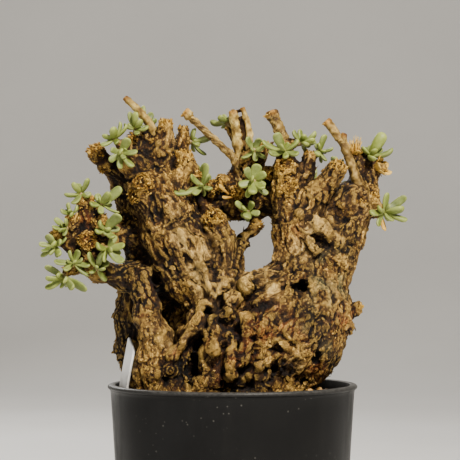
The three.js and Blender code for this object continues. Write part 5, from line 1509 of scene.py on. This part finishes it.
def twig_finish(tree):
    grain = grain_of(tree, 600, 2800)
    tone = weighed(tree, (mask(tree, "tone"), 1.0), (grain["Cloud"], 0.7))
    tone = stretch_range(tree, tone, 0.45, 1.25)
    colour = ramp(tree, tone, [(0.0, (0.030, 0.014, 0.003)), (0.5, (0.12, 0.066, 0.016)),
                               (1.0, (0.30, 0.19, 0.055))])
    bare = ramp(tree, tone, [(0.0, (0.12, 0.066, 0.012)), (0.5, (0.36, 0.24, 0.055)),
                             (1.0, (0.62, 0.47, 0.155))])
    broken = ramp(tree, tone, [(0.0, (0.08, 0.024, 0.003)), (1.0, (0.46, 0.225, 0.04))])
    colour = tinted(tree, colour, "pale", 0.9, bare)
    colour = tinted(tree, colour, "end", 0.75, broken)
    # painted shade in the grooves and the end's cup
    colour = tinted(tree, colour, "hollow", 0.95, (0.022, 0.009, 0.003))
    colour = specked(tree, grain, colour, 0.22, (0.06, 0.03, 0.013))
    return colour, drifting(tree, grain, 0.6, 0.85), grain["Height"], 0.16


def leaf_finish(tree):
    grain = grain_of(tree, 260, 4200)
    along = mask(tree, "along")
    shade = weighed(tree, (mask(tree, "draw"), 0.5), (grain["Cloud"], 0.5))
    body = ramp(tree, shade, [(0.2, (0.053, 0.076, 0.005)), (0.5, (0.100, 0.133, 0.010)),
                              (0.8, (0.178, 0.220, 0.024))])
    # root, tip, edge, middle and bloom, each as a share and the colour that it turns to; the paler edge is
    # partly bloom and partly painted highlight, and the darker middle of the upper face is painted shade in
    # its hollow
    stem = ramp(tree, grain["Cloud"], [(0.3, (0.12, 0.08, 0.025)), (0.7, (0.33, 0.24, 0.09))])
    for share, tint in (
            (stretch_range(tree, along, 0.35, 0.0), (0.13, 0.150, 0.008)),
            (stretch_range(tree, along, 0.84, 1.0, 0.0, 0.5), (0.31, 0.35, 0.06)),
            (stretch_range(tree, mask(tree, "edge"), 0.8, 1.0, 0.0, 0.4), (0.32, 0.37, 0.09)),
            (stretch_range(tree, mask(tree, "upper"), 0.85, 1.0, 0.0, 0.3), (0.045, 0.072, 0.004)),
            (stretch_range(tree, grain["Cloud"], 0.38, 0.68, 0.06, 0.30), (0.40, 0.44, 0.17)),
            (calc(tree, "MULTIPLY", grain["Speck"], 0.1), (0.45, 0.5, 0.17)),
            (mask(tree, "stem"), stem)):
        body = blend(tree, share, body, tint)
    return body, stretch_range(tree, grain["Cloud"], 0.35, 0.7, 0.42, 0.62), grain["Height"], 0.035


def crumb_finish(tree):
    grain = grain_of(tree, 700, 3200)
    tone = weighed(tree, (mask(tree, "tone"), 1.0), (grain["Cloud"], 0.6))
    colour = ramp(tree, stretch_range(tree, tone, 0.3, 1.35),
                  [(0.0, (0.020, 0.007, 0.001)), (0.35, (0.12, 0.052, 0.007)), (0.7, (0.36, 0.20, 0.031)),
                   (1.0, (0.66, 0.43, 0.09))])
    colour = specked(tree, grain, colour, 0.35, (0.04, 0.017, 0.006))
    return colour, drifting(tree, grain, 0.78, 0.95), grain["Height"], 0.2


def grit_finish(tree):
    grain = grain_of(tree, 500, 2800)
    tone = weighed(tree, (mask(tree, "tone"), 1.0), (grain["Cloud"], 0.25))
    colour = ramp(tree, calc(tree, "SUBTRACT", tone, 0.12),
                  [(0.0, (0.012, 0.009, 0.007)), (0.35, (0.045, 0.028, 0.016)), (0.6, (0.13, 0.08, 0.042)),
                   (0.82, (0.30, 0.20, 0.11)), (0.93, (0.50, 0.27, 0.065)), (1.0, (0.62, 0.46, 0.25))])
    colour = specked(tree, grain, colour, 0.3, (0.02, 0.013, 0.008))
    return colour, drifting(tree, grain, 0.75, 0.98), grain["Height"], 0.2


def pot_finish(tree):
    grain, fine = grain_of(tree, 55, 420), grain_of(tree, 900, 5200)
    place = put(tree, "ShaderNodeTexCoord").outputs["Object"]
    drawn_out = put(tree, "ShaderNodeMapping", {"Vector": place, "Scale": (1.0, 1.0, 0.12)}).outputs["Vector"]
    film = stretch_range(tree, cloudy(tree, drawn_out, 160.0, 4.0, 0.5), 0.52, 0.78, 0.0, 0.4)
    colour = ramp(tree, grain["Cloud"], [(0.3, (0.002, 0.002, 0.0021)), (0.7, (0.0042, 0.0042, 0.0043))])
    colour = blend(tree, film, colour, (0.010, 0.0098, 0.0092))
    # a painted highlight along the rim's top, patchy in strength
    worn = stretch_range(tree, fine["Cloud"], 0.35, 0.6, 0.3, 0.8)
    colour = tinted(tree, colour, "rim", worn, (0.055, 0.053, 0.050))
    dots = calc(tree, "MULTIPLY", stretch_range(tree, grain["Speck"], 0.66, 0.9),
                stretch_range(tree, grain["Cloud"], 0.52, 0.6, 0.0, 0.3))
    colour = blend(tree, dots, colour, (0.13, 0.125, 0.11))
    roughness = weighed(tree, (drifting(tree, grain, 0.30, 0.46), 1.0), (film, 0.35))
    return colour, roughness, fine["Height"], 0.03


def label_finish(tree):
    grain = grain_of(tree, 240, 3600)
    place = put(tree, "ShaderNodeTexCoord").outputs["Object"]
    height = put(tree, "ShaderNodeSeparateXYZ", {"Vector": place}).outputs["Z"]
    colour = ramp(tree, grain["Cloud"], [(0.3, (0.80, 0.80, 0.77)), (0.7, (0.90, 0.90, 0.88))])
    soiled = calc(tree, "MULTIPLY", stretch_range(tree, height, 0.086, 0.077),
                  stretch_range(tree, grain["Cloud"], 0.35, 0.6, 0.2, 0.9))
    colour = blend(tree, soiled, colour, (0.24, 0.17, 0.10))
    colour = specked(tree, grain, colour, 0.12, (0.35, 0.3, 0.24))
    return colour, drifting(tree, grain, 0.36, 0.5), grain["Height"], 0.02


def fibre_finish(tree):
    grain = grain_of(tree, 900, 3600)
    tone = weighed(tree, (grain["Cloud"], 0.6), (mask(tree, "along"), 0.35), (mask(tree, "draw"), 0.25))
    colour = ramp(tree, tone, [(0.2, (0.09, 0.034, 0.005)), (0.5, (0.33, 0.165, 0.022)),
                               (0.72, (0.55, 0.335, 0.055)), (0.95, (0.74, 0.53, 0.14))])
    return colour, drifting(tree, grain, 0.5, 0.75), grain["Height"], 0.12


def stage_finish(tree):
    grain = grain_of(tree, 6, 90)
    colour = ramp(tree, grain["Cloud"], [(0.3, (0.74, 0.73, 0.71)), (0.7, (0.78, 0.77, 0.75))])
    return colour, drifting(tree, grain, 0.6, 0.75), grain["Height"], 0.1


# Pot, soil and label

def turned(profile, sides):
    """Points and triangles of a closed round form from its profile, which starts and ends on the axis."""
    inner = profile[1:-1]
    points = [(radius * math.cos(a), radius * math.sin(a), z) for radius, z in inner for a in circle(sides)]
    points += [(0, 0, profile[0][1]), (0, 0, profile[-1][1])]
    return np.array(points), ring_faces(len(inner), sides)


def pot_profile():
    """From the middle of the base, up the outside, over the rounded lip and down the inside."""
    low = POT_HEIGHT - LIP_HEIGHT
    outer = RIM_RADIUS - LIP_PROUD
    inner, foot = outer - WALL, BASE_RADIUS - WALL
    rows = [(0, 0), (BASE_RADIUS - 3, 0), (BASE_RADIUS - 1, 0), (BASE_RADIUS - 0.25, 0.25), (BASE_RADIUS, 1)]
    rows += [(BASE_RADIUS + (outer - BASE_RADIUS) * share, low * share)
             for share in np.linspace(0.06, 0.985, 22)]
    rows += [(outer + 0.08, low - 0.35), (outer + 0.3, low)]
    for angle in np.radians(np.linspace(-80, 90, 9)):
        rows.append((RIM_RADIUS - LIP_ROUND + LIP_ROUND * math.cos(angle),
                     POT_HEIGHT - LIP_ROUND + LIP_ROUND * math.sin(angle)))
    rows += [(inner + 0.5, POT_HEIGHT), (inner + 0.12, POT_HEIGHT - 0.15), (inner, POT_HEIGHT - 0.6)]
    rows += [(foot + (inner - foot) * share, FLOOR + (POT_HEIGHT - FLOOR) * share)
             for share in np.linspace(0.95, 0.02, 10)]
    return rows + [(foot - 0.8, FLOOR), (0, FLOOR)]


def drain_cutters():
    """Round bars that stand where the drain holes are."""
    form = bmesh.new()
    for angle in circle(DRAIN_COUNT):
        made = bmesh.ops.create_cone(form, cap_ends=True, segments=32, radius1=DRAIN_RADIUS * MM,
                                     radius2=DRAIN_RADIUS * MM, depth=3 * FLOOR * MM)
        shift = Vector((DRAIN_RING * math.cos(angle), DRAIN_RING * math.sin(angle), FLOOR / 2)) * MM
        bmesh.ops.translate(form, vec=shift, verts=made["verts"])
    return object_of(form, "drain_cutters")


def make_pot():
    points, faces = turned(pot_profile(), POT_SIDES)
    angle = np.arctan2(points[:, 1], points[:, 0])
    # the soft wall is a hair out of round
    sag = 1 - 0.0022 * (1 + np.cos(2 * angle + 0.7)) * ease(20, 70, points[:, 2])
    points[:, :2] *= sag[:, None]
    pot = mesh_object("pot_wall", points, faces)
    cutters = drain_cutters()
    cut = pot.modifiers.new("drains", "BOOLEAN")
    cut.operation = "DIFFERENCE"
    cut.solver = "EXACT"
    cut.object = cutters
    settle(pot)
    bpy.data.objects.remove(cutters)
    heights = np.array([corner.co.z for corner in pot.data.vertices]) / MM
    # the rim's top, where the pot's finish paints a highlight
    add_mask(pot.data, "rim", ease(POT_HEIGHT - 1.6, POT_HEIGHT - 0.2, heights))
    pot.data.polygons.foreach_set("use_smooth", np.ones(len(pot.data.polygons), dtype=bool))
    pot.data.set_sharp_from_angle(angle=math.radians(35))
    return pot


def soil_height(x, y):
    points = np.stack([x, y, np.zeros_like(x)], axis=1)
    return SOIL_LEVEL - 0.5 + 0.45 * layered_noise(points / 7, 201, 3)


def wall_inside(z):
    """The radius of the pot's inner face at a height."""
    outer = RIM_RADIUS - LIP_PROUD
    return BASE_RADIUS - WALL + (outer - BASE_RADIUS) * z / (POT_HEIGHT - LIP_HEIGHT)


def soil_bed():
    """The body of the soil, with a rough top."""
    low = FLOOR + SOIL_ABOVE_FLOOR
    heights = (low, *np.linspace(12, SOIL_LEVEL - 1.2, 6))
    reach = wall_inside(SOIL_LEVEL) - SOIL_OFF_WALL
    rows = [(0, low)] + [(wall_inside(z) - SOIL_OFF_WALL, z) for z in heights]
    rows += [(radius, SOIL_LEVEL) for radius in np.linspace(reach, 0.8, 46)] + [(0, SOIL_LEVEL)]
    points, faces = turned(rows, SOIL_SIDES)
    upper = points[:, 2] > SOIL_LEVEL - 0.01
    points[upper, 2] = soil_height(points[upper, 0], points[upper, 1])
    lumps = layered_noise(points / 1.6, 207, 2)
    points[upper, 2] += 0.3 * lumps[upper]
    return points, faces, {"tone": np.clip(0.25 + 0.2 * lumps, 0, 0.6)}


def soil_grit(wood):
    """Loose grains over the soil, and the few large ones."""
    rng = np.random.default_rng(SEEDS["grit"])
    angle = rng.uniform(0, 2 * math.pi, GRIT_COUNT)
    size = rng.uniform(*GRIT_SIZE, GRIT_COUNT) * rng.choice([0.7, 1, 1.25], GRIT_COUNT)
    reach = (wall_inside(SOIL_LEVEL) - 0.9 - size) * np.sqrt(rng.uniform(0.02, 1, GRIT_COUNT))
    small = (reach * np.cos(angle), reach * np.sin(angle), size, 0.35 * size, rng.beta(1.6, 2.2, GRIT_COUNT))
    x, y, size, rise, tone = np.concatenate([small, np.array(LARGE_GRAINS).T], axis=1)
    origins = np.stack([x, y, soil_height(x, y) + rise], axis=1)
    clear = wood.distance(origins) > 0.25 * size
    origins, size, tone = origins[clear], size[clear], tone[clear]
    turn = unit(rng.normal(size=(len(origins), 3)))
    spread = size[:, None] * rng.uniform(0.7, 1.1, (len(origins), 3))
    shape, faces = icosahedron()
    axes = np.stack([turn, *frames_along(turn)], axis=1)
    points, faces = copies(shape, faces, origins, axes, spread, 0.13, rng)
    points[:, 2] = np.minimum(points[:, 2], POT_HEIGHT + 2)
    away = np.hypot(points[:, 0], points[:, 1])
    points[:, :2] *= np.minimum(1, (wall_inside(points[:, 2]) - 0.15) / away)[:, None]
    return points, faces, {"tone": np.repeat(tone, len(shape))}


def make_label():
    """A thin plate with a slanted top, rounded corners and a pointed foot, bowed a little."""
    half, low, high = LABEL_WIDTH / 2, LABEL_BOTTOM - LABEL_MIDDLE, LABEL_TOP - LABEL_MIDDLE
    slant = high - LABEL_SLANT
    outline = [(0, low), (half, low + LABEL_POINT), (half, slant - 0.6), (half - 0.55, slant + 0.2),
               (-half + 0.75, high - 0.3), (-half + 0.1, high - 0.75), (-half, low + LABEL_POINT)]
    form = bmesh.new()
    face = form.faces.new([form.verts.new((x * MM, -LABEL_THICKNESS / 2 * MM, z * MM)) for x, z in outline])
    made = bmesh.ops.extrude_face_region(form, geom=[face])
    raised = [item for item in made["geom"] if isinstance(item, bmesh.types.BMVert)]
    bmesh.ops.translate(form, vec=(0, LABEL_THICKNESS * MM, 0), verts=raised)
    for z in np.linspace(low + LABEL_POINT + 1, slant - 1.5, 9):
        geometry = form.verts[:] + form.edges[:] + form.faces[:]
        bmesh.ops.bisect_plane(form, geom=geometry, plane_co=(0, 0, z * MM), plane_no=(0, 0, 1))
    bmesh.ops.recalc_face_normals(form, faces=form.faces)
    rims = [edge for edge in form.edges if edge.is_manifold and edge.calc_face_angle() > 0.5]
    bmesh.ops.bevel(form, geom=rims, offset=0.16 * MM, segments=2, affect="EDGES")
    turn, lean = (math.cos(LABEL_TURN), math.sin(LABEL_TURN)), (math.cos(LABEL_LEAN), math.sin(LABEL_LEAN))
    for corner in form.verts:
        x, y, z = corner.co / MM
        y += 0.15 * (max(z, 0) / high) ** 2
        x, y = x * turn[0] - y * turn[1], x * turn[1] + y * turn[0]
        x, z = x * lean[0] + z * lean[1], -x * lean[1] + z * lean[0]
        corner.co = Vector((x + LABEL_PLACE[0], y + LABEL_PLACE[1], z + LABEL_MIDDLE)) * MM
    return object_of(form, "plant_label")


# Stage, lights and camera

def make_stage():
    """A pale floor that sweeps up into a plain wall."""
    bend = STAGE_BEND_RADIUS
    rows = [(y, 0.0) for y in np.linspace(STAGE_FRONT, STAGE_BEND_START, 10)]
    rows += [(STAGE_BEND_START + bend * math.sin(a), bend - bend * math.cos(a))
             for a in np.linspace(0.15, math.pi / 2, 12)]
    rows += [(STAGE_BEND_START + bend, z) for z in np.linspace(bend + 0.2, STAGE_TOP, 5)]
    columns = np.linspace(-STAGE_HALF_WIDTH, STAGE_HALF_WIDTH, 9)
    points = [(x / MM, y / MM, z / MM) for y, z in rows for x in columns]
    wide = len(columns)
    faces = [(r * wide + c, r * wide + c + 1, (r + 1) * wide + c + 1, (r + 1) * wide + c)
             for r in range(len(rows) - 1) for c in range(wide - 1)]
    floor = mesh_object("studio_floor", points, faces)
    floor.data.materials.append(finish("pale_floor", stage_finish))


def facing(place, aim):
    """The rotation of a light or camera that looks from a place at an aim."""
    return (Vector(aim) - Vector(place)).to_track_quat("-Z", "Y").to_euler()


def add_light(name, place, aim, power, size, colour):
    lamp = bpy.data.lights.new(name, "AREA")
    lamp.energy, lamp.size, lamp.color = power, size, colour
    light = linked(name, lamp)
    light.location, light.rotation_euler = place, facing(place, aim)


def add_camera():
    camera = linked("camera", bpy.data.cameras.new("camera"))
    camera.location, camera.rotation_euler = Vector(EYE) * MM, facing(EYE, AIM)
    camera.data.angle = VIEW_ANGLE
    camera.data.clip_start = 0.01
    bpy.context.scene.camera = camera


def add_air():
    world = bpy.data.worlds.new("studio_air")
    world.use_nodes = True
    world.node_tree.nodes["Background"].inputs["Color"].default_value = AIR_COLOUR
    world.node_tree.nodes["Background"].inputs["Strength"].default_value = AIR_STRENGTH
    bpy.context.scene.world = world


add_camera()
GRAIN = make_grain_group()

make_stage()
for name, settings in LIGHTS.items():
    add_light(name, *settings)
add_air()

shoots = {name: {"at": np.array(at, dtype=float), "leaves": leaves} for name, (at, leaves) in SHOOTS.items()}
back_draws = make_draws(SEEDS["back shoots"])
for name, (at, grows, count) in BACK_SHOOTS.items():
    shoots[name] = {"at": np.array(at, dtype=float), "leaves": grown_leaves(grows, count, back_draws)}
wood = Wood(shoots)

bark = finish("corky_bark", bark_finish, 0.2)
surface, bark_masks = make_bark(wood)
caudex = mesh_object("caudex_bark", surface.points, surface.quads, masks=bark_masks)
thin_out(caudex, BARK_TRIANGLES)
dress(caudex, bark, "caudex")
add_piece("bark_flakes", make_flakes(surface, bark_masks, wood), bark, "caudex", smooth=False)
golden = finish("golden_crumbs", crumb_finish, 0.2)
add_piece("scar_crumbs", make_crumbs(wood), golden, "caudex", smooth=False)
twigs = [twig_arrays(path, radii, look, number)
         for number, ((path, radii), look) in enumerate(zip(TWIGS, TWIG_LOOKS))]
add_piece("dry_twigs", joined(twigs), finish("twig_skin", twig_finish, 0.2), "caudex")
papery = finish("papery_dry_skin", fibre_finish, 0.25)
add_piece("dry_fibres", make_fibres(), papery, "caudex")
add_piece("papery_bracts", make_papery(), papery, "caudex")

flesh = finish("waxy_leaf", leaf_finish, 0.36, LEAF_FLESH)
leaf_rng = np.random.default_rng(SEEDS["leaves"])
for name, shoot in shoots.items():
    add_piece(f"fleshy_{name}", shoot_arrays(shoot, shoots, wood, leaf_rng), flesh, f"leaves_{name}")

dress(make_pot(), finish("black_pot", pot_finish, 0.13), "pot")
grit = finish("potting_grit", grit_finish)
add_piece("soil_bed", soil_bed(), grit, "soil")
add_piece("soil_grit", soil_grit(wood), grit, "soil", smooth=False)
dress(make_label(), finish("white_label", label_finish), "label")
